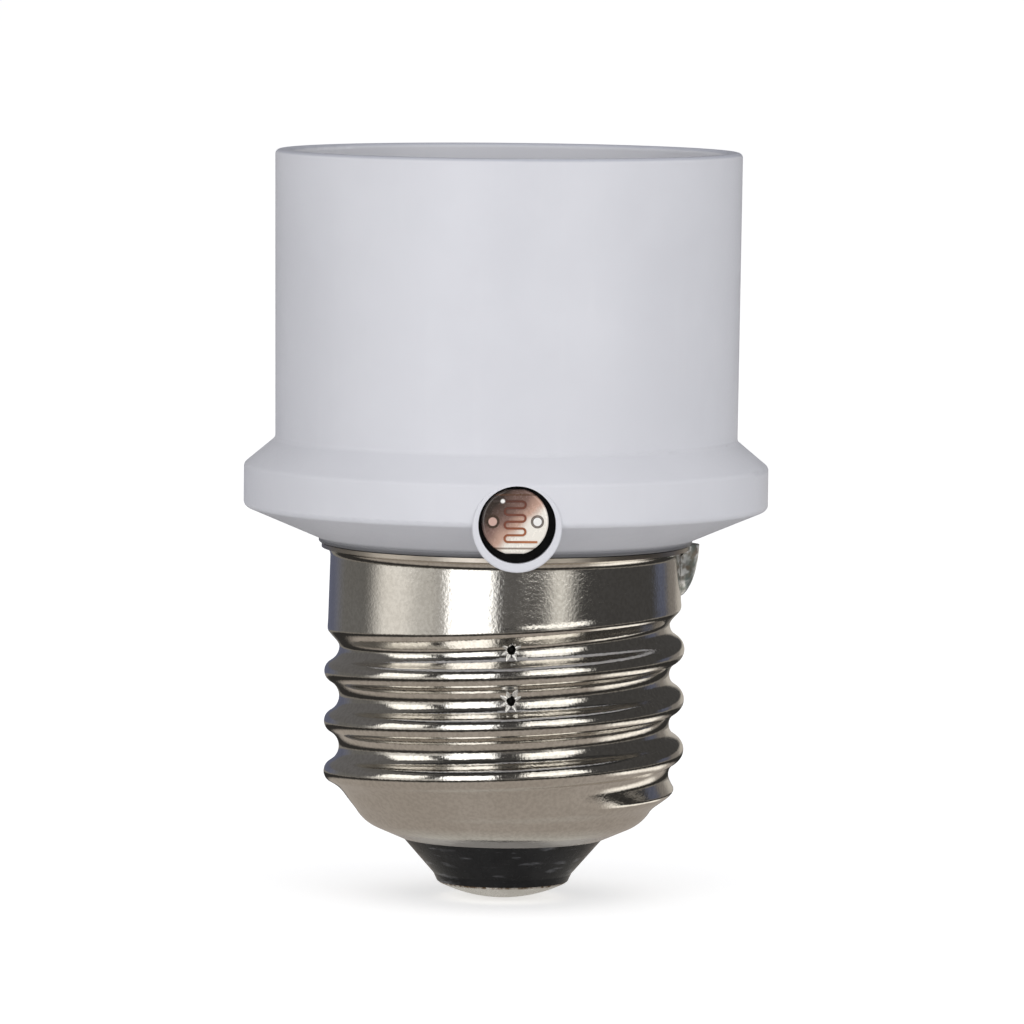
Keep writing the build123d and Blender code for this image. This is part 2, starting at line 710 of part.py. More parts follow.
def make_contact_button():
    """Domed button riveted through the tip of the leaf."""
    seat = leaf_top_z()
    tail_top = seat - LEAF_T - SEAT_CLEARANCE
    dome = dome_arc(BUTTON_R, BUTTON_H - BUTTON_EDGE, seat + BUTTON_EDGE)
    rest = Polyline(
        (0, seat + BUTTON_H),
        (0, tail_top - BUTTON_TAIL_T),
        (BUTTON_TAIL_R, tail_top - BUTTON_TAIL_T),
        (BUTTON_TAIL_R, tail_top),
        (BUTTON_SHANK_R, tail_top),
        (BUTTON_SHANK_R, seat),
        (BUTTON_R, seat),
        (BUTTON_R, seat + BUTTON_EDGE),
    )
    return revolve(Plane.XZ * make_face(dome + rest), Axis.Z)


def cell_outline(gap):
    """Round disc with flats at top and bottom, grown by a gap."""
    return Circle(CELL_R + gap) & Rectangle(4.0 * CELL_R, 2.0 * (CELL_FLAT + gap))


def sensor_plane(y, x=0.0, z=HOLE_Z):
    """Plane across the photocell's axis, facing inward."""
    return Plane(origin=(x, y, z), x_dir=(1, 0, 0), z_dir=(0, 1, 0))


def cell_lead_xs():
    return [CELL_X + side * CELL_LEAD_PITCH / 2.0 for side in (-1, 1)]


def make_photocell():
    """Ceramic disc of the photocell, bored for its two leads."""
    cell = extrude(sensor_plane(CELL_FACE_Y, CELL_X, CELL_Z) * cell_outline(0.0), CELL_T)
    cell = fillet(cell.edges().group_by(Axis.Y)[0], CELL_ROUND)
    for x in cell_lead_xs():
        bore = sensor_plane(CELL_FACE_Y, x, CELL_Z) * Circle(CELL_LEAD_R + SOLDER_CLEARANCE)
        cell -= extrude(bore, CELL_T)
    return cell


def make_cell_track():
    """Serpentine track on the face of the photocell."""
    half = TRACK_SPAN / 2.0
    top = TRACK_PITCH * (TRACK_ROWS - 1) / 2.0
    points = []
    for row in range(TRACK_ROWS):
        side = -1 if row % 2 == 0 else 1
        level = row * TRACK_PITCH - top
        points.append((side * half, level))
        points.append((-side * half, level))
    points[0] = (-CELL_LEAD_PITCH / 2.0, -top)
    points[-1] = (CELL_LEAD_PITCH / 2.0, top)
    line = FilletPolyline(*points, radius=TRACK_PITCH * 0.48)
    face = sensor_plane(CELL_FACE_Y, CELL_X, CELL_Z)
    return extrude(face * trace(line, TRACK_W), -TRACK_T)


def make_cell_leads():
    """Two leads with heads on the face, run in under the core and down to the board."""
    leads = []
    for x in cell_lead_xs():
        run = [
            (x, CELL_FACE_Y, CELL_Z),
            (x, CELL_LEAD_DOWN_Y, CELL_Z),
            (x, CELL_LEAD_DOWN_Y, BOARD_SEAT_Z),
        ]
        head = extrude(sensor_plane(CELL_FACE_Y, x, CELL_Z) * Circle(CELL_HEAD_R), -CELL_HEAD_T)
        leads.append((wire_along(run, CELL_LEAD_BEND, CELL_LEAD_R) + head).solid())
    return Compound(leads)


def make_cell_sleeve():
    """Black sleeve that fills the hole round the photocell."""
    front = BOSS_FACE_Y + SLEEVE_RECESS
    outline = Circle(HOLE_R - SLEEVE_CLEARANCE)
    outline -= Pos(CELL_SHIFT_X, -CELL_SHIFT_Z) * cell_outline(SEAT_CLEARANCE)
    return extrude(sensor_plane(front) * outline, CELL_BACK_Y - front)


def on_board(share):
    """Plan position of a part from its share of the spigot's bore."""
    return share[0] * SPIGOT_BORE_R, share[1] * SPIGOT_BORE_R


def axial_holes(place, spacing, along):
    """Board holes of a part with a lead at each end; along is X or Y."""
    half = spacing / 2.0
    step = (half, 0.0) if along == "X" else (0.0, half)
    return [(place[0] + side * step[0], place[1] + side * step[1]) for side in (-1, 1)]


def capacitor_holes():
    return axial_holes(on_board(CAPACITOR_AT), CAPACITOR_SPAN, "Y")


def triac_holes():
    x, y = on_board(TRIAC_AT)
    return [(x + step * TRIAC_LEG_GAP, y) for step in (-1, 0, 1)]


def part_holes():
    """Holes of the parts that hang under the board."""
    holes = axial_holes(on_board(GATE_RESISTOR_AT), RESISTOR_SPAN, "Y")
    holes += axial_holes(on_board(DIVIDER_RESISTOR_AT), RESISTOR_SPAN, "Y")
    holes += axial_holes(on_board(DIAC_AT), DIAC_SPAN, "X")
    return holes + capacitor_holes() + triac_holes()


def lead_holes():
    """Holes of the wires that come to the board from elsewhere."""
    holes = [(x, CELL_LEAD_DOWN_Y) for x in cell_lead_xs()]
    return holes + [(0, 0), (NEUTRAL_HOLE_X, 0), (0, LEAF_RIVET_Y), shell_rivet_places()[0]]


def make_circuit_board():
    board = peg(CHAMBER_R - BOARD_CLEARANCE, BOARD_SEAT_Z, BOARD_T)
    for place in part_holes() + lead_holes():
        board -= peg(WIRE_R + HOLE_CLEARANCE, BOARD_SEAT_Z, BOARD_T, place)
    return board


def make_board_solder():
    """Cones of solder round each wire on top of the board."""
    inner = WIRE_R + SOLDER_CLEARANCE
    cone = turned([(inner, 0), (JOINT_R, 0), (inner + SOLDER_CLEARANCE, JOINT_H), (inner, JOINT_H)])
    places = part_holes() + lead_holes()
    return Compound([(Pos(*place, BOARD_TOP_Z) * cone).solid() for place in places])


def axial_part(body, radius, place, spacing, along):
    """Body lying under the board, with one bent lead through it to two holes."""
    level = BOARD_SEAT_Z - STAND_OFF - radius
    first, last = axial_holes(place, spacing, along)
    top = BOARD_TOP_Z + LEAD_END
    lead = wire_along([(*first, top), (*first, level), (*last, level), (*last, top)], WIRE_BEND, WIRE_R)
    turn = Rot(0, 90, 0) if along == "X" else Rot(90, 0, 0)
    return lead + Pos(*place, level) * turn * body


def resistor_body():
    """Dog-bone body of a small resistor."""
    body = Cylinder(RESISTOR_R, RESISTOR_L)
    for side in (-1, 1):
        cap = Cylinder(RESISTOR_CAP_R, RESISTOR_CAP_L)
        cap = fillet(cap.edges().filter_by(GeomType.CIRCLE), RESISTOR_CAP_L * 0.3)
        body += Pos(0, 0, side * (RESISTOR_L - RESISTOR_CAP_L) / 2.0) * cap
    return body


def make_gate_resistor():
    return axial_part(resistor_body(), RESISTOR_CAP_R, on_board(GATE_RESISTOR_AT), RESISTOR_SPAN, "Y")


def make_divider_resistor():
    return axial_part(resistor_body(), RESISTOR_CAP_R, on_board(DIVIDER_RESISTOR_AT), RESISTOR_SPAN, "Y")


def make_diac():
    body = Cylinder(DIAC_R, DIAC_L)
    body = fillet(body.edges().filter_by(GeomType.CIRCLE), DIAC_R * 0.5)
    return axial_part(body, DIAC_R, on_board(DIAC_AT), DIAC_SPAN, "X")


def legs_up(holes, foot):
    """Straight legs from a level up through the board."""
    return [peg(WIRE_R, foot, BOARD_TOP_Z + LEAD_END - foot, place) for place in holes]


def make_film_capacitor():
    """Dipped box capacitor hanging on two legs."""
    top = BOARD_SEAT_Z - STAND_OFF
    body = Pos(*on_board(CAPACITOR_AT), top - CAPACITOR_Z / 2.0) * Box(CAPACITOR_X, CAPACITOR_Y, CAPACITOR_Z)
    body = fillet(body.edges(), CAPACITOR_ROUND)
    for leg in legs_up(capacitor_holes(), top):
        body += leg
    return body


def make_triac():
    """Small plastic triac with one flat side, hanging on three legs."""
    foot = BOARD_SEAT_Z - TRIAC_LEG_L
    outline = Circle(TRIAC_R) & Pos(0, TRIAC_FLAT - TRIAC_R) * Rectangle(4.0 * TRIAC_R, 2.0 * TRIAC_R)
    body = extrude(Pos(*on_board(TRIAC_AT), foot - TRIAC_H) * outline, TRIAC_H)
    for leg in legs_up(triac_holes(), foot):
        body += leg
    return body


def make_line_lead():
    """Insulated wire from the tip contact's stem to the middle of the board."""
    stem_top = contact_stem_top()
    foot = stem_top - LINE_STRIP
    core = peg(WIRE_R, foot, BOARD_TOP_Z + LEAD_END - foot)
    cover_foot = stem_top + LINE_BARE
    return core + peg(LINE_WIRE_R, cover_foot, BOARD_SEAT_Z - LINE_BARE - cover_foot)


def board_riser(place):
    """Straight wire from a rivet's foot down through the board."""
    return peg(WIRE_R, BOARD_SEAT_Z, CORE_SEAT_Z - RIVET_FOOT_T - BOARD_SEAT_Z, place)


def make_switched_lead():
    return board_riser((0, LEAF_RIVET_Y))


def make_socket_neutral_lead():
    return board_riser(shell_rivet_places()[0])


NODES = {
    "housing": make_housing,
    "base_screw_shell": make_base_shell,
    "base_insulator": make_base_insulator,
    "base_contact": make_base_contact,
    "side_solder": make_side_solder,
    "neutral_lead": make_neutral_lead,
    "socket_core": make_socket_core,
    "socket_screw_shell": make_socket_shell,
    "shell_rivets": make_shell_rivets,
    "contact_leaf": make_contact_leaf,
    "leaf_rivet": make_leaf_rivet,
    "contact_button": make_contact_button,
    "photocell": make_photocell,
    "cell_track": make_cell_track,
    "cell_leads": make_cell_leads,
    "cell_sleeve": make_cell_sleeve,
    "circuit_board": make_circuit_board,
    "board_solder": make_board_solder,
    "gate_resistor": make_gate_resistor,
    "divider_resistor": make_divider_resistor,
    "diac": make_diac,
    "film_capacitor": make_film_capacitor,
    "triac": make_triac,
    "line_lead": make_line_lead,
    "switched_lead": make_switched_lead,
    "socket_neutral_lead": make_socket_neutral_lead,
}


if __name__ == "__main__":
    os.makedirs("parts", exist_ok=True)
    for name, make in NODES.items():
        export_step(make(), f"parts/{name}.step")
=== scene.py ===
# %% [markdown]
# # A light sensor lamp socket
# This object screws into a lamp holder and carries a lamp in its white skirt. A photocell in the collar
# decides when the lamp may light. The solids arrive finished, so this lesson gives them light and surfaces.
# It also remakes the pieces whose shape follows a rule, which Blender can work out more finely than a
# solid.

# %% Load the solids
import math
import bmesh
import bpy
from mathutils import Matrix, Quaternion, Vector


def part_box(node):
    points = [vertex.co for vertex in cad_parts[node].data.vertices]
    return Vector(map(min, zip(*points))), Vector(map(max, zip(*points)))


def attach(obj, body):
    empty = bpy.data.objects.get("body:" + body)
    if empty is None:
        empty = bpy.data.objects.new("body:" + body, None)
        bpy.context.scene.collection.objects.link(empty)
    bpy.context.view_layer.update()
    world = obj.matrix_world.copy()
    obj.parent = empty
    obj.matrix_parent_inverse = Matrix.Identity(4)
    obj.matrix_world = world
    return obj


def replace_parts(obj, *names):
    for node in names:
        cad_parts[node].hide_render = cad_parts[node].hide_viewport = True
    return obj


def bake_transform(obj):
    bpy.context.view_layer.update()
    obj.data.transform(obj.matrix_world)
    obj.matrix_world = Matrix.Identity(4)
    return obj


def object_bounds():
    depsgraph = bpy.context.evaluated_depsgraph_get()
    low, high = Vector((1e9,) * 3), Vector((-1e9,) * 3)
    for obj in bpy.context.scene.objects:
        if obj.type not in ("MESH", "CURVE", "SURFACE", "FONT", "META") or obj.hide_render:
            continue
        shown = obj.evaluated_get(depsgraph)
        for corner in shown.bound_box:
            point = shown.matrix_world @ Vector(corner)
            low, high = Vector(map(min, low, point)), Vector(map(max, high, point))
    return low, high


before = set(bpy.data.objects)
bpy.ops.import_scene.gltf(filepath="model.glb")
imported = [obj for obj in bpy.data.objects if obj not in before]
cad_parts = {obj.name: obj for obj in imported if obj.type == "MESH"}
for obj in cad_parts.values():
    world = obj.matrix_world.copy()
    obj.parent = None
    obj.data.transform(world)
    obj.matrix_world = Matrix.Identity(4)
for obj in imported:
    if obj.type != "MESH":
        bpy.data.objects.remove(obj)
cad_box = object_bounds()
MM = 0.001
print("solids:", len(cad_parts), "box:", [tuple(round(v, 5) for v in corner) for corner in cad_box])

# %% [markdown]
# ## The camera
# The object was photographed from about half a metre with a long lens, a little above its middle. A short
# lens close by would show more of the rim's inside and swell the collar, so the distance matters as much as
# the framing. The camera looks back along one direction, and a last small turn about that line sets its
# roll.

# %% Camera
LENS = 280.3
CAMERA_DISTANCE = 0.575
CAMERA_TURN = math.radians(-2.5)
CAMERA_TILT = math.radians(4.6)
CAMERA_ROLL = math.radians(0.55)
SENSOR_WIDTH = 36.0
AIM = Vector((0.00045, 0.0, 0.0279))


def add_object(name, data):
    """New object in the scene that holds some data."""
    item = bpy.data.objects.new(name, data)
    bpy.context.scene.collection.objects.link(item)
    return item


def place_camera():
    """Camera that looks at the aim point from the front."""
    level = math.cos(CAMERA_TILT)
    back = Vector((math.sin(CAMERA_TURN) * level, -math.cos(CAMERA_TURN) * level, math.sin(CAMERA_TILT)))
    camera = add_object("camera", bpy.data.cameras.new("camera"))
    camera.data.lens = LENS
    camera.data.sensor_width = SENSOR_WIDTH
    camera.location = AIM + back * CAMERA_DISTANCE
    camera.rotation_mode = "QUATERNION"
    camera.rotation_quaternion = (-back).to_track_quat("-Z", "Y") @ Quaternion((0, 0, 1), CAMERA_ROLL)
    bpy.context.scene.camera = camera
    return camera


print("camera at", [round(v, 4) for v in place_camera().location])

# %% [markdown]
# ## The white background
# The object stands on a white floor that fades into a white world. A floor that is only lit would need far
# too much light to come out white, so for rays from the camera, and for rays that metal or glass sends on,
# it also glows a little. Its own shading stays under the glow, so the soft shadow at the tip is kept.

# %% World and floor
WORLD_LIGHT = 0.60
WORLD_TINT = (0.975, 0.98, 1.0, 1.0)
FLOOR_HALF = 8.0
FLOOR_DROP = 0.02 * MM
FLOOR_WHITE = 0.86
FLOOR_GLOW = 0.50


def add_node(tree, kind, **settings):
    """New node with its settings."""
    node = tree.nodes.new(kind)
    for name, value in settings.items():
        setattr(node, name, value)
    return node


def feed(tree, socket, value):
    """Link a socket into an input, or set the input where the value is plain."""
    if isinstance(value, bpy.types.NodeSocket):
        tree.links.new(value, socket)
    else:
        socket.default_value = value


def calc(tree, operation, first, second=0.0, third=0.0):
    """Math node in a shader or geometry tree."""
    node = add_node(tree, "ShaderNodeMath", operation=operation)
    for socket, value in zip(node.inputs, (first, second, third)):
        feed(tree, socket, value)
    return node.outputs[0]


def seen_ray(tree):
    """1 for rays from the camera and for those that gloss and glass send on."""
    path = add_node(tree, "ShaderNodeLightPath")
    seen = calc(tree, "MAXIMUM", path.outputs["Is Camera Ray"], path.outputs["Is Glossy Ray"])
    return calc(tree, "MAXIMUM", seen, path.outputs["Is Transmission Ray"])


def white_world():
    """World that looks white and lights at its own level."""
    world = bpy.data.worlds.new("white_room")
    bpy.context.scene.world = world
    world.use_nodes = True
    tree = world.node_tree
    tree.nodes.clear()
    light = add_node(tree, "ShaderNodeBackground")
    light.inputs["Strength"].default_value = WORLD_LIGHT
    light.inputs["Color"].default_value = WORLD_TINT
    look = add_node(tree, "ShaderNodeBackground")
    look.inputs["Color"].default_value = (1.0, 1.0, 1.0, 1.0)
    mix = add_node(tree, "ShaderNodeMixShader")
    feed(tree, mix.inputs[0], seen_ray(tree))
    tree.links.new(light.outputs[0], mix.inputs[1])
    tree.links.new(look.outputs[0], mix.inputs[2])
    out = add_node(tree, "ShaderNodeOutputWorld")
    tree.links.new(mix.outputs[0], out.inputs["Surface"])


def white_floor():
    """Pale floor that keeps the shadow under a soft glow."""
    mesh = bpy.data.meshes.new("floor")
    corners = [(-1, -1), (1, -1), (1, 1), (-1, 1)]
    points = [(x * FLOOR_HALF, y * FLOOR_HALF, -FLOOR_DROP) for x, y in corners]
    mesh.from_pydata(points, [], [(0, 1, 2, 3)])
    floor = add_object("floor", mesh)
    material = bpy.data.materials.new("white_floor")
    material.use_nodes = True
    tree = material.node_tree
    tree.nodes.clear()
    paint = add_node(tree, "ShaderNodeBsdfDiffuse")
    paint.inputs["Color"].default_value = (FLOOR_WHITE, FLOOR_WHITE, FLOOR_WHITE, 1.0)
    glow = add_node(tree, "ShaderNodeEmission")
    feed(tree, glow.inputs["Strength"], calc(tree, "MULTIPLY", seen_ray(tree), FLOOR_GLOW))
    both = add_node(tree, "ShaderNodeAddShader")
    tree.links.new(paint.outputs[0], both.inputs[0])
    tree.links.new(glow.outputs[0], both.inputs[1])
    out = add_node(tree, "ShaderNodeOutputMaterial")
    tree.links.new(both.outputs[0], out.inputs["Surface"])
    mesh.materials.append(material)


bpy.context.scene.view_settings.view_transform = "Standard"
white_world()
white_floor()
print("world light", WORLD_LIGHT, "floor glow", FLOOR_GLOW)

# %% [markdown]
# ## Soft lamps
# The white plastic shows almost no shade, so the light is broad: a large lamp in front on each side and a
# weak one above. Lamps could also make the streaks on the metal, but then every change of light would
# change the metal too. Here the lamps are hidden from reflections, and the next step deals with those.

# %% Lamps
SOFT_LAMPS = {
    "lamp_left": ((-0.55, -0.75, 0.30), 0.60, 2.35),
    "lamp_right": ((0.60, -0.70, 0.22), 0.60, 2.5),
    "lamp_over": ((0.0, -0.25, 0.85), 0.70, 0.4),
}


def soft_lamp(name, place, side, power):
    """Square lamp turned towards the object."""
    lamp = add_object(name, bpy.data.lights.new(name, "AREA"))
    lamp.data.shape = "SQUARE"
    lamp.data.size = side
    lamp.data.energy = power
    lamp.location = place
    lamp.rotation_euler = (AIM - Vector(place)).to_track_quat("-Z", "Y").to_euler()
    lamp.visible_glossy = False


for lamp_name, lamp_facts in SOFT_LAMPS.items():
    soft_lamp(lamp_name, *lamp_facts)
print("lamps:", ", ".join(SOFT_LAMPS))

# %% [markdown]
# ## Cards for the metal to mirror
# Rolled nickel has hardly any colour of its own: it looks like what stands round it. A product photographer
# puts white and black cards round metal, and each card becomes a streak. Here a dark ring stands round the
# object, and each card is a bright stretch of it with soft edges. The low row makes the columns on the
# upright band. The high row only shows on flanks that face up, so the thread gets white dashes with black
# gaps, and one card on the right goes on above it. A pale round of ceiling lights the metal in the well,
# and a painted table gives the shoulder and the tip their tone. Only mirrored rays see the cards, so they
# neither light the plastic nor stand in the picture.

# %% Cards
RING_RADIUS = 0.13
RING_STEP = 2
RING_DARK = (0.062, 0.060, 0.059)
LOW_TOP = 0.024
HIGH_FOOT = 0.030
HIGH_TOP = 0.085
TOP_FOOT = 0.090
TOP_END = 0.150
LOW_CARDS = [
    ((-181, -136), 20, (0.060, 0.070, 0.120)),
    ((-140, -97), 24, (0.095, 0.093, 0.088)),
    ((-93, -40), 24, (0.530, 0.515, 0.486)),
    ((-91, -64), 18, (0.290, 0.281, 0.267)),
    ((-38, -9.5), 10, (1.900, 1.900, 1.900)),
    ((-9, 22), 10, (0.062, 0.060, 0.058)),
    ((25, 39), 16, (0.740, 0.720, 0.672)),
    ((110, 124), 10, (0.050, 0.062, 0.110)),
    ((126, 181), 14, (0.170, 0.152, 0.135)),
    ((144, 181), 14, (0.260, 0.245, 0.215)),
]
HIGH_CARDS = [
    ((-181, -90), 14, (0.080, 0.078, 0.080)),
    ((-88, -55), 6, (1.500, 1.480, 1.420)),
    ((-43, -9), 5, (1.900, 1.900, 1.900)),
    ((9, 50), 8, (1.500, 1.470, 1.400)),
]
TOP_CARDS = [
    ((-181, -58), 20, (0.070, 0.068, 0.066)),
    ((11, 46), 8, (1.100, 1.080, 1.030)),
]
TABLE_DROP = 0.01 * MM
TABLE_GLINT = [((62, 116), 16, (0.850, 0.830, 0.780))]
TABLE_RINGS = [
    (0.0, (0.460, 0.440, 0.405), []),
    (0.006, (0.460, 0.440, 0.405), []),
    (0.011, (0.375, 0.336, 0.300), []),
    (0.020, (0.375, 0.336, 0.300), []),
    (0.025, (0.390, 0.350, 0.312), TABLE_GLINT),
    (0.032, (0.390, 0.350, 0.312), TABLE_GLINT),
    (0.042, (0.036, 0.034, 0.032), []),
    (0.075, (0.036, 0.034, 0.032), []),
    (0.090, (0.220, 0.205, 0.185), []),
    (0.140, (0.220, 0.205, 0.185), []),
]
CEILING_RINGS = [
    (0.0, (0.900, 0.890, 0.870), []),
    (0.042, (0.900, 0.890, 0.870), []),
    (0.060, (0.040, 0.040, 0.040), []),
    (0.140, (0.030, 0.030, 0.030), []),
]


def smooth_share(value):
    """Share from 0 to 1 with rounded ends."""
    held = min(1.0, max(0.0, value))
    return held * held * (3.0 - 2.0 * held)


def ring_glow(ground, cards, azimuth):
    """Glow of a ring at an angle, in degrees to the right of the camera: its ground and the cards on it."""
    glow = Vector(ground)
    for (start, end), fade, colour in cards:
        share = smooth_share((azimuth - start) / fade + 0.5) * smooth_share((end - azimuth) / fade + 0.5)
        glow += share * Vector(colour)
    return glow


def glow_finish():
    """Material that glows in the colours painted on a mesh."""
    material = bpy.data.materials.new("painted_card")
    material.use_nodes = True
    tree = material.node_tree
    tree.nodes.clear()
    paint = add_node(tree, "ShaderNodeAttribute", attribute_name="glow")
    glow = add_node(tree, "ShaderNodeEmission")
    tree.links.new(paint.outputs["Color"], glow.inputs["Color"])
    out = add_node(tree, "ShaderNodeOutputMaterial")
    tree.links.new(glow.outputs[0], out.inputs["Surface"])
    return material


def stand_card(name, rows, finish):
    """Painted card that only mirrored rays see; each row holds (point, colour) pairs round the object."""
    wide = len(rows[0])
    faces = []
    for row in range(len(rows) - 1):
        first = row * wide
        faces += [
            (first + i, first + i + 1, first + wide + i + 1, first + wide + i)
            for i in range(wide - 1)
        ]
    mesh = bpy.data.meshes.new(name)
    mesh.from_pydata([point for row in rows for point, colour in row], [], faces)
    paint = mesh.color_attributes.new("glow", "FLOAT_COLOR", "POINT")
    for spot, (point, colour) in zip(paint.data, [pair for row in rows for pair in row]):
        spot.color = (*colour, 1.0)
    mesh.materials.append(finish)
    card = add_object(name, mesh)
    card.visible_camera = False
    card.visible_diffuse = False
    card.visible_transmission = False
    card.visible_shadow = False


def round_points(radius, z):
    """Azimuths and points once round the object."""
    azimuths = range(-180, 181, RING_STEP)
    turns = [math.radians(azimuth) for azimuth in azimuths]
    return [
        (azimuth, (radius * math.sin(a), -radius * math.cos(a), z))
        for azimuth, a in zip(azimuths, turns)
    ]


def card_ring(finish):
    """Upright ring with its low, high and top cards."""
    levels = [(0.0, LOW_CARDS), (LOW_TOP, LOW_CARDS), (HIGH_FOOT, HIGH_CARDS), (HIGH_TOP, HIGH_CARDS)]
    levels += [(TOP_FOOT, TOP_CARDS), (TOP_END, TOP_CARDS)]
    rows = [
        [(point, ring_glow(RING_DARK, cards, azimuth)) for azimuth, point in round_points(RING_RADIUS, z)]
        for z, cards in levels
    ]
    stand_card("card_ring", rows, finish)


def flat_card(name, z, rings, finish):
    """Level card under or over the object, painted in rings."""
    rows = [
        [(point, ring_glow(ground, cards, azimuth)) for azimuth, point in round_points(radius, z)]
        for radius, ground, cards in rings
    ]
    stand_card(name, rows, finish)


painted = glow_finish()
card_ring(painted)
flat_card("card_table", -TABLE_DROP, TABLE_RINGS, painted)
flat_card("card_ceiling", TOP_END, CEILING_RINGS, painted)
print(
    "cards:", len(LOW_CARDS) + len(HIGH_CARDS) + len(TOP_CARDS),
    "on the ring, one under and one over the object",
)

# %% [markdown]
# ## Shared surface effects
# Most finishes here need the same three things: a fine grain, a slow drift of tone, and hair scratches.
# Each is a shader group, built once and placed in a material with its own values. The groups read a
# position, so the pattern keeps its real size on every piece, whatever its shape.

# %% Shader groups


def new_group(name, inputs, outputs):
    """Shader group with named sockets; returns it with its two end nodes."""
    group = bpy.data.node_groups.new(name, "ShaderNodeTree")
    for kind, label, value in inputs:
        socket = group.interface.new_socket(label, in_out="INPUT", socket_type=kind)
        if value is not None:
            socket.default_value = value
    for kind, label in outputs:
        group.interface.new_socket(label, in_out="OUTPUT", socket_type=kind)
    return group, add_node(group, "NodeGroupInput"), add_node(group, "NodeGroupOutput")


def mix_colour(tree, factor, first, second):
    """Mix node for colours."""
    node = add_node(tree, "ShaderNodeMix", data_type="RGBA")
    feed(tree, node.inputs[0], factor)
    feed(tree, node.inputs[6], first)
    feed(tree, node.inputs[7], second)
    return node.outputs[2]


def remap(tree, value, low, high, to_low=0.0, to_high=1.0, smooth=False):
    """Map Range node; smooth rounds the ends of the ramp."""
    kind = "SMOOTHSTEP" if smooth else "LINEAR"
    node = add_node(tree, "ShaderNodeMapRange", interpolation_type=kind)
    for socket, number in zip(node.inputs, (value, low, high, to_low, to_high)):
        feed(tree, socket, number)
    return node.outputs[0]


def noise(tree, position, scale, detail=2.0):
    """Noise value about 0.5."""
    node = add_node(tree, "ShaderNodeTexNoise")
    feed(tree, node.inputs["Vector"], position)
    feed(tree, node.inputs["Scale"], scale)
    node.inputs["Detail"].default_value = detail
    return node.outputs["Fac"]


def build_grain():
    """Fine bumps and a mask that goes with them."""
    group, start, end = new_group(
        "fine_grain",
        [
            ("NodeSocketVector", "Position", None), ("NodeSocketFloat", "Scale", 4000.0),
            ("NodeSocketFloat", "Coarse Share", 0.4),
        ],
        [("NodeSocketFloat", "Height"), ("NodeSocketFloat", "Mask")],
    )
    fine = noise(group, start.outputs["Position"], start.outputs["Scale"], 3.0)
    coarse_scale = calc(group, "MULTIPLY", start.outputs["Scale"], 0.22)
    coarse = noise(group, start.outputs["Position"], coarse_scale, 2.0)
    share = start.outputs["Coarse Share"]
    fine_part = calc(group, "MULTIPLY", fine, calc(group, "SUBTRACT", 1.0, share))
    height = calc(group, "MULTIPLY_ADD", coarse, share, fine_part)
    group.links.new(height, end.inputs["Height"])
    group.links.new(remap(group, height, 0.36, 0.64, smooth=True), end.inputs["Mask"])
    return group


def build_drift():
    """Slow change of tone over a surface."""
    group, start, end = new_group(
        "tone_drift",
        [
            ("NodeSocketVector", "Position", None), ("NodeSocketColor", "Pale", None),
            ("NodeSocketColor", "Deep", None), ("NodeSocketFloat", "Scale", 120.0),
        ],
        [("NodeSocketColor", "Color"), ("NodeSocketFloat", "Mask")],
    )
    slow = noise(group, start.outputs["Position"], start.outputs["Scale"], 4.0)
    mask = remap(group, slow, 0.34, 0.66, smooth=True)
    tone = mix_colour(group, mask, start.outputs["Pale"], start.outputs["Deep"])
    group.links.new(tone, end.inputs["Color"])
    group.links.new(mask, end.inputs["Mask"])
    return group


def build_scratches():
    """Thin marks drawn out along one direction."""
    group, start, end = new_group(
        "hair_scratches",
        [
            ("NodeSocketVector", "Position", None), ("NodeSocketVector", "Stretch", (1.0, 1.0, 12.0)),
            ("NodeSocketFloat", "Scale", 300.0), ("NodeSocketFloat", "Cover", 0.5),
        ],
        [("NodeSocketFloat", "Mask")],
    )
    drawn = add_node(group, "ShaderNodeVectorMath", operation="MULTIPLY")
    group.links.new(start.outputs["Position"], drawn.inputs[0])
    group.links.new(start.outputs["Stretch"], drawn.inputs[1])
    lines = noise(group, drawn.outputs[0], start.outputs["Scale"], 5.0)
    patch_scale = calc(group, "MULTIPLY", start.outputs["Scale"], 0.5)
    patches = noise(group, start.outputs["Position"], patch_scale, 1.0)
    sharp = remap(group, lines, 0.56, 0.66)
    cover = remap(group, patches, 0.62, 0.38, 0.0, start.outputs["Cover"])
    group.links.new(calc(group, "MULTIPLY", sharp, cover), end.inputs["Mask"])
    return group


GRAIN = build_grain()
DRIFT = build_drift()
SCRATCHES = build_scratches()
print("groups:", GRAIN.name, DRIFT.name, SCRATCHES.name)

# %% [markdown]
# ## A material to start from
# Every finish begins in the same way: the position on the piece, a drift of tone into the colour, and a
# grain that both roughens and bumps the surface. A function makes that start and gives back the tree, so a
# finish that needs more can go on from there.

# %% Finish helper
FINISHES = {}


def use_group(tree, group, **values):
    """Place a shader group in a material."""
    node = add_node(tree, "ShaderNodeGroup", node_tree=group)
    for name, value in values.items():
        feed(tree, node.inputs[name.replace("_", " ").title()], value)
    return node


def rgba(colour):
    """Colour with full alpha."""
    return (*colour, 1.0)


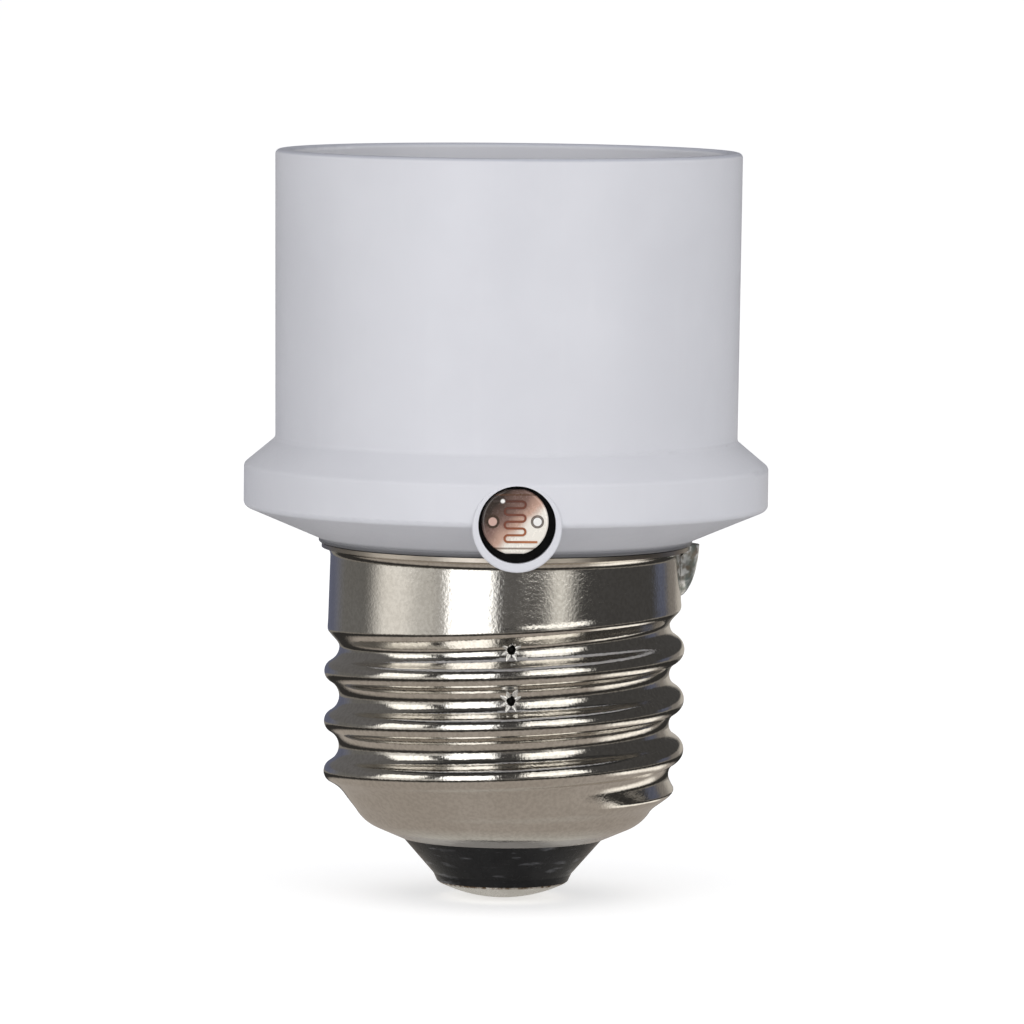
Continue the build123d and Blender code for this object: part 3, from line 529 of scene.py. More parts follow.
def start_finish(
    name, pale, deep, rough, metallic=0.0, drift=120.0, grain=4000.0, coarse=0.4, bump=0.000002,
):
    """Material with drift and grain; returns its tree, position, shader, colour and roughness."""
    material = bpy.data.materials.new(name)
    material.use_nodes = True
    tree = material.node_tree
    shader = tree.nodes["Principled BSDF"]
    shader.inputs["Metallic"].default_value = metallic
    place = add_node(tree, "ShaderNodeTexCoord").outputs["Object"]
    tone = use_group(tree, DRIFT, position=place, pale=rgba(pale), deep=rgba(deep), scale=drift)
    tree.links.new(tone.outputs["Color"], shader.inputs["Base Color"])
    bumps = use_group(tree, GRAIN, position=place, scale=grain, coarse_share=coarse)
    dull = remap(tree, bumps.outputs["Mask"], 0.0, 1.0, rough[0], rough[1])
    tree.links.new(dull, shader.inputs["Roughness"])
    relief = add_node(tree, "ShaderNodeBump")
    relief.inputs["Strength"].default_value = 1.0
    relief.inputs["Distance"].default_value = bump
    tree.links.new(bumps.outputs["Height"], relief.inputs["Height"])
    tree.links.new(relief.outputs["Normal"], shader.inputs["Normal"])
    FINISHES[name] = material
    return tree, place, shader, tone.outputs["Color"], dull


def dress(node, name):
    """Give a solid its finish."""
    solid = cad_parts[node]
    solid.data.materials.clear()
    solid.data.materials.append(FINISHES[name])


print("finish helper ready")

# %% [markdown]
# ## White plastic
# The housing is one satin moulding, white with a breath of blue. Straight-drawn moulds leave faint upright
# drag marks on a deep skirt, so the scratches here are drawn out along the axis and lighten the colour a
# little. The core inside is the same kind of plastic, a little warmer because light seldom reaches it. A
# blue-grey line of painted shade runs round the top of the rim, and painted shade darkens the narrow gap
# over the shell. Both follow the height on the piece.

# %% White plastic
PLASTIC_PALE = (0.700, 0.702, 0.742)
PLASTIC_DEEP = (0.668, 0.670, 0.710)
RIM_SHADE_BLUE = (0.33, 0.345, 0.43)
DRAG_WHITE = (0.80, 0.80, 0.82)
GAP_SHADE = (0.045, 0.045, 0.048)
TAPER_FOOT_Z = 25.72 * MM
TAPER_SHADE = 0.66 * MM
TAPER_SHADE_R = 14.3 * MM
RIM_Z = cad_box[1][2]
RIM_SHADE_LINE = 0.24 * MM


def white_plastic(name, pale, deep):
    """Satin moulding with drag marks along the axis."""
    tree, place, shader, colour, _ = start_finish(
        name, pale, deep, (0.36, 0.50), drift=90.0, grain=5200.0, bump=0.0000016,
    )
    drag = use_group(tree, SCRATCHES, position=place, stretch=(1.0, 1.0, 0.06), scale=900.0, cover=0.6)
    faint = calc(tree, "MULTIPLY", drag.outputs["Mask"], 0.10)
    return tree, place, shader, mix_colour(tree, faint, colour, rgba(DRAG_WHITE))


def parts_of(tree, place):
    """X, Y and Z of a position."""
    node = add_node(tree, "ShaderNodeSeparateXYZ")
    tree.links.new(place, node.inputs[0])
    return node.outputs


def flattened(tree, place, keep):
    """Position with only some of its axes kept."""
    flat = add_node(tree, "ShaderNodeVectorMath", operation="MULTIPLY")
    tree.links.new(place, flat.inputs[0])
    flat.inputs[1].default_value = keep
    return flat.outputs[0]


def housing_plastic():
    """White plastic with painted shade: a blue-grey line at the rim and a dark foot over the shell."""
    tree, place, shader, colour = white_plastic("white_plastic", PLASTIC_PALE, PLASTIC_DEEP)
    height = parts_of(tree, place)["Z"]
    # Painted shade: a dark blue-grey line round the top of the rim.
    rim = remap(tree, height, RIM_Z - RIM_SHADE_LINE, RIM_Z - 0.3 * RIM_SHADE_LINE, 0.0, 0.5, smooth=True)
    colour = mix_colour(tree, rim, colour, rgba(RIM_SHADE_BLUE))
    # Painted shade: the taper's foot darkens over the narrow gap above the shell.
    shade_top = TAPER_FOOT_Z + TAPER_SHADE
    shade_full = TAPER_FOOT_Z + 0.2 * TAPER_SHADE
    foot = remap(tree, height, shade_top, shade_full, 0.0, 0.85, smooth=True)
    out = add_node(tree, "ShaderNodeVectorMath", operation="LENGTH")
    tree.links.new(flattened(tree, place, (1.0, 1.0, 0.0)), out.inputs[0])
    near = remap(tree, out.outputs["Value"], TAPER_SHADE_R + 0.6 * MM, TAPER_SHADE_R, smooth=True)
    gap_shade = calc(tree, "MULTIPLY", foot, near)
    feed(tree, shader.inputs["Base Color"], mix_colour(tree, gap_shade, colour, rgba(GAP_SHADE)))


def core_plastic():
    """Plain white plastic for the core."""
    tree, _, shader, colour = white_plastic("core_plastic", (0.70, 0.70, 0.70), (0.66, 0.66, 0.655))
    feed(tree, shader.inputs["Base Color"], colour)


housing_plastic()
core_plastic()
dress("housing", "white_plastic")
dress("socket_core", "core_plastic")
print("plastic on the housing and the core")

# %% [markdown]
# ## Nickel
# Thin brass sheet is rolled to a thread and plated with nickel. The plating is bright but not a mirror: a
# fine orange peel breaks the edge of each streak, and handling leaves small dull patches. Grain at two
# sizes gives the peel, and the scratches lift the roughness in places. The lip's cut edge shows dull metal
# without plating, and its colour is also darkened as painted shade from the taper's overhang. Lamp holders
# have rubbed the foot of the base shell dull.

# %% Nickel
CUT_EDGE = 0.31 * MM
CUT_METAL_AND_SHADE = (0.540, 0.490, 0.430)
FOOT_RUB = 0.75 * MM
RUBBED_METAL = (0.420, 0.390, 0.360)
MOTTLE = (0.430, 0.405, 0.370)


def nickel(name, box, pale, deep, rough, bump, rubbed):
    """Plated sheet with peel, scratches, a dull cut edge darkened by painted shade, and if asked, a rubbed
    foot.
    """
    foot_z = box[0][2]
    lip_z = box[1][2]
    tree, place, shader, colour, dull = start_finish(
        name, pale, deep, rough, metallic=1.0, drift=160.0, grain=5200.0, coarse=0.35, bump=bump,
    )
    marks = use_group(tree, SCRATCHES, position=place, stretch=(0.25, 0.25, 3.0), scale=700.0, cover=0.6)
    height = parts_of(tree, place)["Z"]
    mottle = remap(tree, noise(tree, place, 3600.0, 3.0), 0.36, 0.66, 0.0, 0.26, smooth=True)
    colour = mix_colour(tree, mottle, colour, rgba(MOTTLE))
    if rubbed:
        rub = remap(tree, height, foot_z + FOOT_RUB, foot_z + 0.6 * FOOT_RUB, 0.0, rubbed, smooth=True)
        colour = mix_colour(tree, rub, colour, rgba(RUBBED_METAL))
        feed(tree, shader.inputs["Metallic"], calc(tree, "SUBTRACT", 1.0, rub))
    # Dull unplated cut edge at the lip; its darker colour is also painted shade from the taper's overhang.
    cut = remap(tree, height, lip_z - 1.15 * CUT_EDGE, lip_z - CUT_EDGE, smooth=True)
    worn = calc(tree, "MULTIPLY_ADD", marks.outputs["Mask"], 0.10, dull)
    feed(tree, shader.inputs["Roughness"], calc(tree, "MULTIPLY_ADD", cut, 0.22, worn))
    feed(tree, shader.inputs["Base Color"], mix_colour(tree, cut, colour, rgba(CUT_METAL_AND_SHADE)))


nickel(
    "base_nickel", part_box("base_screw_shell"), (0.800, 0.774, 0.728), (0.740, 0.710, 0.658), (0.055, 0.105),
    bump=0.000013, rubbed=0.8,
)
nickel(
    "socket_nickel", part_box("socket_screw_shell"), (0.760, 0.735, 0.690), (0.700, 0.670, 0.620),
    (0.10, 0.17), bump=0.0000020, rubbed=0.0,
)
print("nickel for both shells")

# %% [markdown]
# ## The rolled shells
# A rolled lamp thread is a rule: the section of a plain shell, plus a round ridge that climbs one pitch in
# each turn and fades out at both ends. Screwing a profile with the Screw modifier would leave the ends open
# and stepped. A Geometry Nodes tree can follow the rule itself: it lays a grid round the axis, reads radius
# and level of each row from the section, and adds the ridge for that angle.

# %% Ridge of the thread in nodes


def other_leg(tree, long_side, leg):
    """Second leg of a right triangle from its long side and its first leg."""
    whole = calc(tree, "MULTIPLY", long_side, long_side)
    return calc(tree, "SQRT", calc(tree, "SUBTRACT", whole, calc(tree, "MULTIPLY", leg, leg)))


def ridge_nodes(tree, offset, pitch, depth, crest_share):
    """Height of a round thread above its root: a crest arc and a root arc that meet on one tangent."""
    half = calc(tree, "MULTIPLY", pitch, 0.5)
    angle = calc(tree, "MULTIPLY", calc(tree, "ARCTANGENT", calc(tree, "DIVIDE", depth, half)), 2.0)
    both = calc(tree, "DIVIDE", half, calc(tree, "SINE", angle))
    crest = calc(tree, "MULTIPLY", both, crest_share)
    root = calc(tree, "SUBTRACT", both, crest)
    wrapped = calc(tree, "FLOORED_MODULO", calc(tree, "ADD", offset, half), pitch)
    along = calc(tree, "ABSOLUTE", calc(tree, "SUBTRACT", wrapped, half))
    rest = calc(tree, "SUBTRACT", half, along)
    crest_rise = other_leg(tree, crest, along)
    root_rise = other_leg(tree, root, rest)
    on_crest = calc(tree, "ADD", calc(tree, "SUBTRACT", depth, crest), crest_rise)
    on_root = calc(tree, "SUBTRACT", root, root_rise)
    pick = add_node(tree, "GeometryNodeSwitch", input_type="FLOAT")
    near = calc(tree, "LESS_THAN", along, calc(tree, "MULTIPLY", crest, calc(tree, "SINE", angle)))
    tree.links.new(near, pick.inputs["Switch"])
    tree.links.new(on_root, pick.inputs["False"])
    tree.links.new(on_crest, pick.inputs["True"])
    return pick.outputs[0]


def toward(tree, low, high, share):
    """Value between two others."""
    return calc(tree, "MULTIPLY_ADD", calc(tree, "SUBTRACT", high, low), share, low)


print("thread rule ready")

# %% [markdown]
# The tree takes the section as its geometry: one vertex for each row, at (radius, 0, level), from the foot
# up. Four levels say where the ridge fades into the plain section. On the base the upper fade leans with
# the thread, so the band grows out of the last ridge instead of cutting it off. A column count says how
# finely it is turned.

# %% Shell tree
SHELL_SIZES = (
    "Pitch", "Depth", "Crest Share", "Root Radius", "First Crest", "Upper Start", "Upper End",
    "Upper Climb", "Lower Start", "Lower End",
)
SEAM_GAP = 0.004 * MM


def new_tree(name, given, sizes, made, counts=()):
    """Geometry Nodes tree with named inputs; returns it with its input node."""
    tree = bpy.data.node_groups.new(name, "GeometryNodeTree")
    tree.is_modifier = True
    inputs = [(given, "NodeSocketGeometry")]
    inputs += [(label, "NodeSocketFloat") for label in sizes]
    inputs += [(label, "NodeSocketInt") for label in counts]
    inputs += [("Material", "NodeSocketMaterial")]
    for label, kind in inputs:
        tree.interface.new_socket(label, in_out="INPUT", socket_type=kind)
    tree.interface.new_socket(made, in_out="OUTPUT", socket_type="NodeSocketGeometry")
    return tree, add_node(tree, "NodeGroupInput")


def own_place(tree):
    """X, Y and Z of each point in a geometry tree."""
    return parts_of(tree, add_node(tree, "GeometryNodeInputPosition").outputs[0])


def finish_nodes(tree, chain, material):
    """Join the nodes of a chain, realise what they made and set its material."""
    ends = [add_node(tree, "GeometryNodeRealizeInstances"), add_node(tree, "GeometryNodeSetMaterial")]
    chain = chain + ends
    for first, second in zip(chain, chain[1:]):
        tree.links.new(first.outputs[0], second.inputs[0])
    tree.links.new(material, chain[-1].inputs["Material"])
    tree.links.new(chain[-1].outputs[0], add_node(tree, "NodeGroupOutput").inputs[0])


def shell_tree():
    """Geometry Nodes tree that rolls a section into a threaded shell."""
    tree, start = new_tree("rolled_shell", "Section", SHELL_SIZES, "Shell", counts=("Columns",))
    size = {label: start.outputs[label] for label in SHELL_SIZES}
    count = add_node(tree, "GeometryNodeAttributeDomainSize", component="MESH")
    tree.links.new(start.outputs["Section"], count.inputs[0])
    rows = count.outputs["Point Count"]
    grid = add_node(tree, "GeometryNodeMeshGrid")
    grid.inputs["Size X"].default_value = 1.0
    grid.inputs["Size Y"].default_value = 1.0
    feed(tree, grid.inputs["Vertices X"], calc(tree, "ADD", start.outputs["Columns"], 1.0))
    tree.links.new(rows, grid.inputs["Vertices Y"])
    spot = own_place(tree)
    turn = calc(tree, "ADD", spot["X"], 0.5)
    last_row = calc(tree, "SUBTRACT", rows, 1.0)
    row = calc(tree, "ROUND", calc(tree, "MULTIPLY", calc(tree, "ADD", spot["Y"], 0.5), last_row))
    read = add_node(tree, "GeometryNodeSampleIndex", data_type="FLOAT_VECTOR", domain="POINT")
    tree.links.new(start.outputs["Section"], read.inputs["Geometry"])
    tree.links.new(add_node(tree, "GeometryNodeInputPosition").outputs[0], read.inputs["Value"])
    tree.links.new(row, read.inputs["Index"])
    section = parts_of(tree, read.outputs[0])
    plain = section["X"]
    level = section["Z"]
    climb = calc(tree, "MULTIPLY_ADD", size["Pitch"], turn, size["First Crest"])
    offset = calc(tree, "SUBTRACT", level, climb)
    ridge = ridge_nodes(tree, offset, size["Pitch"], size["Depth"], size["Crest Share"])
    thread = calc(tree, "ADD", size["Root Radius"], ridge)
    angle = calc(tree, "MULTIPLY", turn, math.tau)
    sway = calc(tree, "MULTIPLY", size["Upper Climb"], calc(tree, "COSINE", angle))
    leaning = calc(tree, "SUBTRACT", level, sway)
    upper = remap(tree, leaning, size["Upper Start"], size["Upper End"], smooth=True)
    lower = remap(tree, level, size["Lower Start"], size["Lower End"], 1.0, 0.0, smooth=True)
    radius = toward(tree, toward(tree, thread, plain, upper), plain, lower)
    place = add_node(tree, "ShaderNodeCombineXYZ")
    tree.links.new(calc(tree, "MULTIPLY", radius, calc(tree, "COSINE", angle)), place.inputs["X"])
    tree.links.new(calc(tree, "MULTIPLY", radius, calc(tree, "SINE", angle)), place.inputs["Y"])
    tree.links.new(level, place.inputs["Z"])
    roll = add_node(tree, "GeometryNodeSetPosition")
    tree.links.new(grid.outputs["Mesh"], roll.inputs["Geometry"])
    tree.links.new(place.outputs[0], roll.inputs["Position"])
    seam = add_node(tree, "GeometryNodeMergeByDistance")
    seam.inputs["Distance"].default_value = SEAM_GAP
    finish_nodes(tree, [roll, seam], start.outputs["Material"])
    return tree


ROLLED_SHELL = shell_tree()
print("shell tree has", len(ROLLED_SHELL.nodes), "nodes")

# %% [markdown]
# A tree works as a modifier on an object that holds the section. Once it has been evaluated, its result is
# taken as a plain mesh and the working object goes. Sheet thickness and cuts are ordinary modifiers after
# the tree.

# %% From a tree to a plain mesh
SHARP = math.radians(38.0)


def set_inputs(modifier, tree, values):
    """Set a modifier's inputs by the identifiers of the tree's sockets."""
    for item in tree.interface.items_tree:
        if item.item_type == "SOCKET" and item.in_out == "INPUT" and item.name in values:
            modifier[item.identifier] = values[item.name]


def work_object(name, points, edges=()):
    """Working object that holds the geometry a tree starts from."""
    mesh = bpy.data.meshes.new(name + "_start")
    mesh.from_pydata(points, list(edges), [])
    return add_object(name + "_start", mesh)


def grow(work, name, tree, values):
    """Put a tree on a working object."""
    modifier = work.modifiers.new(name, "NODES")
    modifier.node_group = tree
    set_inputs(modifier, tree, values)


def harvest(work, name, slot, body="adapter"):
    """Plain mesh object from a working object, with its finish; the working object goes."""
    ready = work.evaluated_get(bpy.context.evaluated_depsgraph_get())
    mesh = bpy.data.meshes.new_from_object(ready)
    mesh.name = name
    mesh.shade_smooth()
    mesh.set_sharp_from_angle(angle=SHARP)
    if not mesh.materials:
        mesh.materials.append(FINISHES[slot])
    old = work.data
    bpy.data.objects.remove(work)
    bpy.data.meshes.remove(old)
    piece = add_object(name, mesh)
    if body:
        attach(piece, body)
    print(name, "faces:", len(mesh.polygons))
    return piece


# %% [markdown]
# ## The screw base
# Its section runs from the hole over the insulator, out along a sloping foot, round the shoulder, up the
# wall and out into the lip. Levels and the lip's reach come from the solid. The wall's plain radius is the
# shoulder's at the foot of the thread and the band's at its head, because there the ridge fades into them.

# %% Section of the screw base
PITCH = 3.629 * MM
SHEET = 0.3 * MM
CREST_SHARE = 0.42
BASE_CREST = 13.0 * MM
BASE_DEPTH = 1.08 * MM
BASE_FIRST_CREST = 2.86 * MM
BAND_TOP = BASE_CREST - 0.38 * MM
BAND_FOOT = BASE_CREST - 0.27 * MM
BAND_HEIGHT = 4.78 * MM
BAND_RUN = 1.9 * MM
LIP_BEND = 0.62 * MM
SHOULDER_BEND = 2.9 * MM
SHOULDER_CENTRE = BASE_CREST - 1.95 * MM - SHOULDER_BEND
SHOULDER_SLOPE = math.radians(23.5)
RUN_UP = 0.75 * MM
RUN_DOWN = 1.5 * MM
FOOT_HOLE = 7.5 * MM
base_low, base_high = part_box("base_screw_shell")
BASE_FOOT_Z = base_low[2]
LIP_Z = base_high[2]


def arc(centre, radius, start, end, steps):
    """Points along an arc of a section, start left out; angles in radians from outward."""
    angles = [start + (end - start) * step / steps for step in range(1, steps + 1)]
    return [(centre[0] + radius * math.cos(a), centre[1] + radius * math.sin(a)) for a in angles]


def line(start, end, steps):
    """Points along a straight part of a section, start left out."""
    shares = [step / steps for step in range(1, steps + 1)]
    return [(start[0] + (end[0] - start[0]) * s, start[1] + (end[1] - start[1]) * s) for s in shares]


def base_section():
    """Section of the base shell's outer face from its foot up, with its shoulder's and its band's levels."""
    slope_end = SHOULDER_SLOPE - math.pi / 2
    toe_r = SHOULDER_CENTRE + SHOULDER_BEND * math.cos(slope_end)
    toe_z = BASE_FOOT_Z + (toe_r - FOOT_HOLE) * math.tan(SHOULDER_SLOPE)
    shoulder_z = toe_z - SHOULDER_BEND * math.sin(slope_end)
    head_z = LIP_Z - SHEET - LIP_BEND
    band_foot_z = LIP_Z - BAND_HEIGHT
    points = [(FOOT_HOLE, BASE_FOOT_Z)]
    points += line(points[0], (toe_r, toe_z), 8)
    points += arc((SHOULDER_CENTRE, shoulder_z), SHOULDER_BEND, slope_end, 0.0, 22)
    for _, z in line((0, shoulder_z), (0, head_z), 132):
        share = (z - band_foot_z) / (head_z - band_foot_z)
        band = BAND_FOOT + (BAND_TOP - BAND_FOOT) * share
        points.append((SHOULDER_CENTRE + SHOULDER_BEND if z < shoulder_z + RUN_UP else band, z))
    points += arc((BAND_TOP + LIP_BEND, head_z), LIP_BEND, math.pi, math.pi / 2, 8)
    points += line(points[-1], (base_high[0], LIP_Z - SHEET), 2)
    return points, shoulder_z, band_foot_z


base_points, SHOULDER_Z, BAND_FOOT_Z = base_section()
print("base section rows:", len(base_points), "shoulder at", round(SHOULDER_Z / MM, 3), "mm")

# %% [markdown]
# The wire to the neutral solder leaves through a notch in the lip, and two punch marks pin the shell to the
# plastic at the front. A Boolean with small cutters opens all three after the sheet has its thickness. The
# punch is a four-sided point, so its holes are diamonds.

# %% Roll the screw base
PUNCH_TURNS = (2.25, 3.25)
PUNCH_HALF = (0.42 * MM, 0.56 * MM)
PUNCH_ROOT = BASE_CREST - BASE_DEPTH
PUNCH_LEVELS = [BASE_FOOT_Z + BASE_FIRST_CREST + PITCH * turns for turns in PUNCH_TURNS]
NOTCH_HALF = 0.55 * MM
NOTCH_FOOT = LIP_Z - 0.9 * MM
NOTCH_REACH = (0.75 * BASE_CREST, 1.1 * BASE_CREST)


def diamond(z):
    """Corners of a punch hole at a level."""
    wide, tall = PUNCH_HALF
    return [(wide, z), (0, z + tall), (-wide, z), (0, z - tall)]


def prism(cutter, corners, near, far):
    """Add a closed prism to a cutter; corners lie across the Y axis, near and far along it."""
    front = [cutter.verts.new((x, near, z)) for x, z in corners]
    back = [cutter.verts.new((x, far, z)) for x, z in corners]
    cutter.faces.new(front)
    cutter.faces.new(back[::-1])
    for i in range(len(corners)):
        j = (i + 1) % len(corners)
        cutter.faces.new((front[j], front[i], back[i], back[j]))


def base_cutter():
    """Cutters for the punch marks and the wire's notch."""
    cutter = bmesh.new()
    for z in PUNCH_LEVELS:
        prism(cutter, diamond(z), -BASE_CREST, -PUNCH_ROOT + 2.0 * SHEET)
    inner, outer = NOTCH_REACH
    top = LIP_Z + MM
    notch = [(inner, NOTCH_FOOT), (outer, NOTCH_FOOT), (outer, top), (inner, top)]
    prism(cutter, notch, -NOTCH_HALF, NOTCH_HALF)
    bmesh.ops.recalc_face_normals(cutter, faces=cutter.faces)
    mesh = bpy.data.meshes.new("base_cutter")
    cutter.to_mesh(mesh)
    cutter.free()
    return add_object("base_cutter", mesh)


def roll_base():
    """Threaded base shell in place of its solid."""
    work = work_object("screw_base_shell", [(r, 0, z) for r, z in base_points])
    grow(work, "rolled", ROLLED_SHELL, {
        "Pitch": PITCH, "Depth": BASE_DEPTH, "Crest Share": CREST_SHARE,
        "Root Radius": BASE_CREST - BASE_DEPTH, "First Crest": BASE_FOOT_Z + BASE_FIRST_CREST,
        "Upper Start": BAND_FOOT_Z - BAND_RUN, "Upper End": BAND_FOOT_Z, "Upper Climb": PITCH / 4,
        "Lower Start": SHOULDER_Z - RUN_DOWN, "Lower End": SHOULDER_Z + RUN_UP,
        "Columns": 224, "Material": FINISHES["base_nickel"],
    })
    sheet = work.modifiers.new("sheet", "SOLIDIFY")
    sheet.thickness = SHEET
    sheet.offset = -1.0
    tool = base_cutter()
    cut = work.modifiers.new("cut", "BOOLEAN")
    cut.operation = "DIFFERENCE"
    cut.object = tool
    cut.solver = "EXACT"
    shell = harvest(work, "screw_base_shell", "base_nickel")
    bpy.data.objects.remove(tool)
    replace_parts(shell, "base_screw_shell")


roll_base()

# %% [markdown]
# ## The punch marks
# A pointed punch leaves a dark four-sided pit and tears the bright sheet into small pointed petals, two at
# each of its sides. One petal is a small grid drawn to a point and arched. Geometry Nodes put eight of them
# on a ring, each with a length of its own from a fixed seed, lay the ring into the thread's hollow, and set
# one ring on each mark.

# %% Punch petals
PETAL_LENGTH = 0.50 * MM
PETAL_HALF = 0.15 * MM
PETAL_RISE = 0.12 * MM
PETAL_START = 0.31 * MM
PETAL_PAIR = math.radians(19.0)
PETAL_COUNT = 8
PETAL_SCALES = (0.72, 1.22)
PETAL_SEED = 5
PETAL_LIFT = 0.01 * MM
HOLLOW = 1.198 * MM
PETAL_SIZES = ("Length", "Half Width", "Rise", "Start", "Pair", "Hollow")


def used_socket(sockets, label):
    """Socket of a name that the node's data type uses."""
    return [socket for socket in sockets if socket.name == label and socket.enabled][0]


def petal_tree():
    """Tree that sets a ring of eight petals, two to a corner, on each vertex it is given."""
    tree, start = new_tree("punch_petals", "Marks", PETAL_SIZES, "Petals")
    grid = add_node(tree, "GeometryNodeMeshGrid")
    for label, value in (("Size X", 1.0), ("Size Y", 1.0), ("Vertices X", 9), ("Vertices Y", 7)):
        grid.inputs[label].default_value = value
    spot = own_place(tree)
    along = calc(tree, "ADD", spot["X"], 0.5)
    across = calc(tree, "MULTIPLY", spot["Y"], 2.0)
    leaf = calc(tree, "MULTIPLY", calc(tree, "SUBTRACT", 1.04, along), calc(tree, "ADD", along, 0.55))
    arch = calc(tree, "SUBTRACT", 1.0, calc(tree, "MULTIPLY", across, across))
    peak = calc(tree, "MULTIPLY", calc(tree, "SUBTRACT", 1.0, along), calc(tree, "ADD", along, 0.35))
    out = calc(tree, "MULTIPLY_ADD", along, start.outputs["Length"], start.outputs["Start"])
    side = calc(tree, "MULTIPLY", across, start.outputs["Half Width"])
    side = calc(tree, "MULTIPLY", side, calc(tree, "MULTIPLY", leaf, 1.6))
    rise = calc(tree, "MULTIPLY", start.outputs["Rise"], 2.0)
    rise = calc(tree, "MULTIPLY", calc(tree, "MULTIPLY", arch, peak), rise)
    shape = add_node(tree, "ShaderNodeCombineXYZ")
    for socket, value in zip(shape.inputs, (out, side, rise)):
        tree.links.new(value, socket)
    petal = add_node(tree, "GeometryNodeSetPosition")
    tree.links.new(grid.outputs["Mesh"], petal.inputs["Geometry"])
    tree.links.new(shape.outputs[0], petal.inputs["Position"])
    ring = add_node(tree, "GeometryNodeMeshLine", mode="OFFSET")
    ring.inputs["Count"].default_value = PETAL_COUNT
    ring.inputs["Offset"].default_value = (0.0, 0.0, 0.0)
    index = add_node(tree, "GeometryNodeInputIndex").outputs[0]
    mate = calc(tree, "FLOORED_MODULO", index, 2.0)
    quarter = calc(tree, "MULTIPLY_ADD", calc(tree, "SUBTRACT", index, mate), math.pi / 4, math.pi / 4)
    spread = calc(tree, "MULTIPLY", calc(tree, "MULTIPLY_ADD", mate, 2.0, -1.0), start.outputs["Pair"])
    aim = add_node(tree, "ShaderNodeCombineXYZ")
    tree.links.new(calc(tree, "ADD", quarter, spread), aim.inputs["Z"])
    eight = add_node(tree, "GeometryNodeInstanceOnPoints")
    tree.links.new(ring.outputs["Mesh"], eight.inputs["Points"])
    tree.links.new(petal.outputs[0], eight.inputs["Instance"])
    tree.links.new(aim.outputs[0], eight.inputs["Rotation"])
    torn = add_node(tree, "FunctionNodeRandomValue", data_type="FLOAT")
    for label, value in zip(("Min", "Max", "Seed"), (*PETAL_SCALES, PETAL_SEED)):
        used_socket(torn.inputs, label).default_value = value
    tree.links.new(used_socket(torn.outputs, "Value"), eight.inputs["Scale"])
    flat = add_node(tree, "GeometryNodeRealizeInstances")
    tree.links.new(eight.outputs[0], flat.inputs[0])
    hollow = start.outputs["Hollow"]
    depth = other_leg(tree, hollow, own_place(tree)["Y"])
    lift = add_node(tree, "ShaderNodeCombineXYZ")
    tree.links.new(calc(tree, "SUBTRACT", hollow, depth), lift.inputs["Z"])
    laid = add_node(tree, "GeometryNodeSetPosition")
    tree.links.new(flat.outputs[0], laid.inputs["Geometry"])
    tree.links.new(lift.outputs[0], laid.inputs["Offset"])
    each = add_node(tree, "GeometryNodeInstanceOnPoints")
    tree.links.new(start.outputs["Marks"], each.inputs["Points"])
    tree.links.new(laid.outputs[0], each.inputs["Instance"])
    each.inputs["Rotation"].default_value = (math.pi / 2, 0.0, 0.0)
    finish_nodes(tree, [each], start.outputs["Material"])
    return tree


start_finish(
    "torn_nickel", (0.900, 0.885, 0.850), (0.700, 0.680, 0.640), (0.20, 0.34), metallic=0.7, drift=1500.0,
    grain=6000.0,
)
PUNCH_PETALS = petal_tree()
marks = work_object("punch_petals", [(0, -PUNCH_ROOT - PETAL_LIFT, z) for z in PUNCH_LEVELS])
grow(marks, "petals", PUNCH_PETALS, {
    "Length": PETAL_LENGTH, "Half Width": PETAL_HALF, "Rise": PETAL_RISE, "Start": PETAL_START,
    "Pair": PETAL_PAIR, "Hollow": HOLLOW, "Material": FINISHES["torn_nickel"],
})
harvest(marks, "punch_petals", "base_nickel")

# %% [markdown]
# The pit itself is sheet that the punch tore and pushed into the plastic. It is a small inverted pyramid,
# dull and painted near black as the shade inside the hole, and it stays behind the shell's face.

# %% Punch pits
PIT_DEPTH = 0.45 * MM
PIT_MOUTH = 0.05 * MM
PIT_FLOOR = 0.35


def punch_pits():
    """Dark four-sided pits behind the punch holes, painted near black as their shade."""
    # Painted shade: the pit's near-black colour stands for the shade inside the punch hole.
    start_finish(
        "pit_painted_shade", (0.030, 0.026, 0.022), (0.012, 0.011, 0.010), (0.45, 0.65), metallic=0.6, drift=900.0,
    )
    pits = bmesh.new()
    for z in PUNCH_LEVELS:
        mouth = diamond(z)
        bottom = [(PIT_FLOOR * x, z + PIT_FLOOR * (level - z)) for x, level in mouth]
        rim = [pits.verts.new((x, -PUNCH_ROOT + PIT_MOUTH, level)) for x, level in mouth]
        floor = [pits.verts.new((x, -PUNCH_ROOT + PIT_DEPTH, level)) for x, level in bottom]
        pits.faces.new(floor)
        for i in range(4):
            j = (i + 1) % 4
            pits.faces.new((rim[i], rim[j], floor[j], floor[i]))
    bmesh.ops.recalc_face_normals(pits, faces=pits.faces)
    bmesh.ops.reverse_faces(pits, faces=pits.faces)
    mesh = bpy.data.meshes.new("punch_pits")
    pits.to_mesh(mesh)
    pits.free()
    mesh.materials.append(FINISHES["pit_painted_shade"])
    piece = add_object("punch_pits", mesh)
    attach(piece, "adapter")
    return piece


print("pit faces:", len(punch_pits().data.polygons))

# %% [markdown]
# ## The socket's screw shell
# The lamp screws into a second rolled shell. The same tree rolls it: the section starts at the flange on
# the core's floor, turns up into the wall and ends in a lip over the core's rim. Here the section is the
# face that the lamp touches, so the sheet grows outwards.

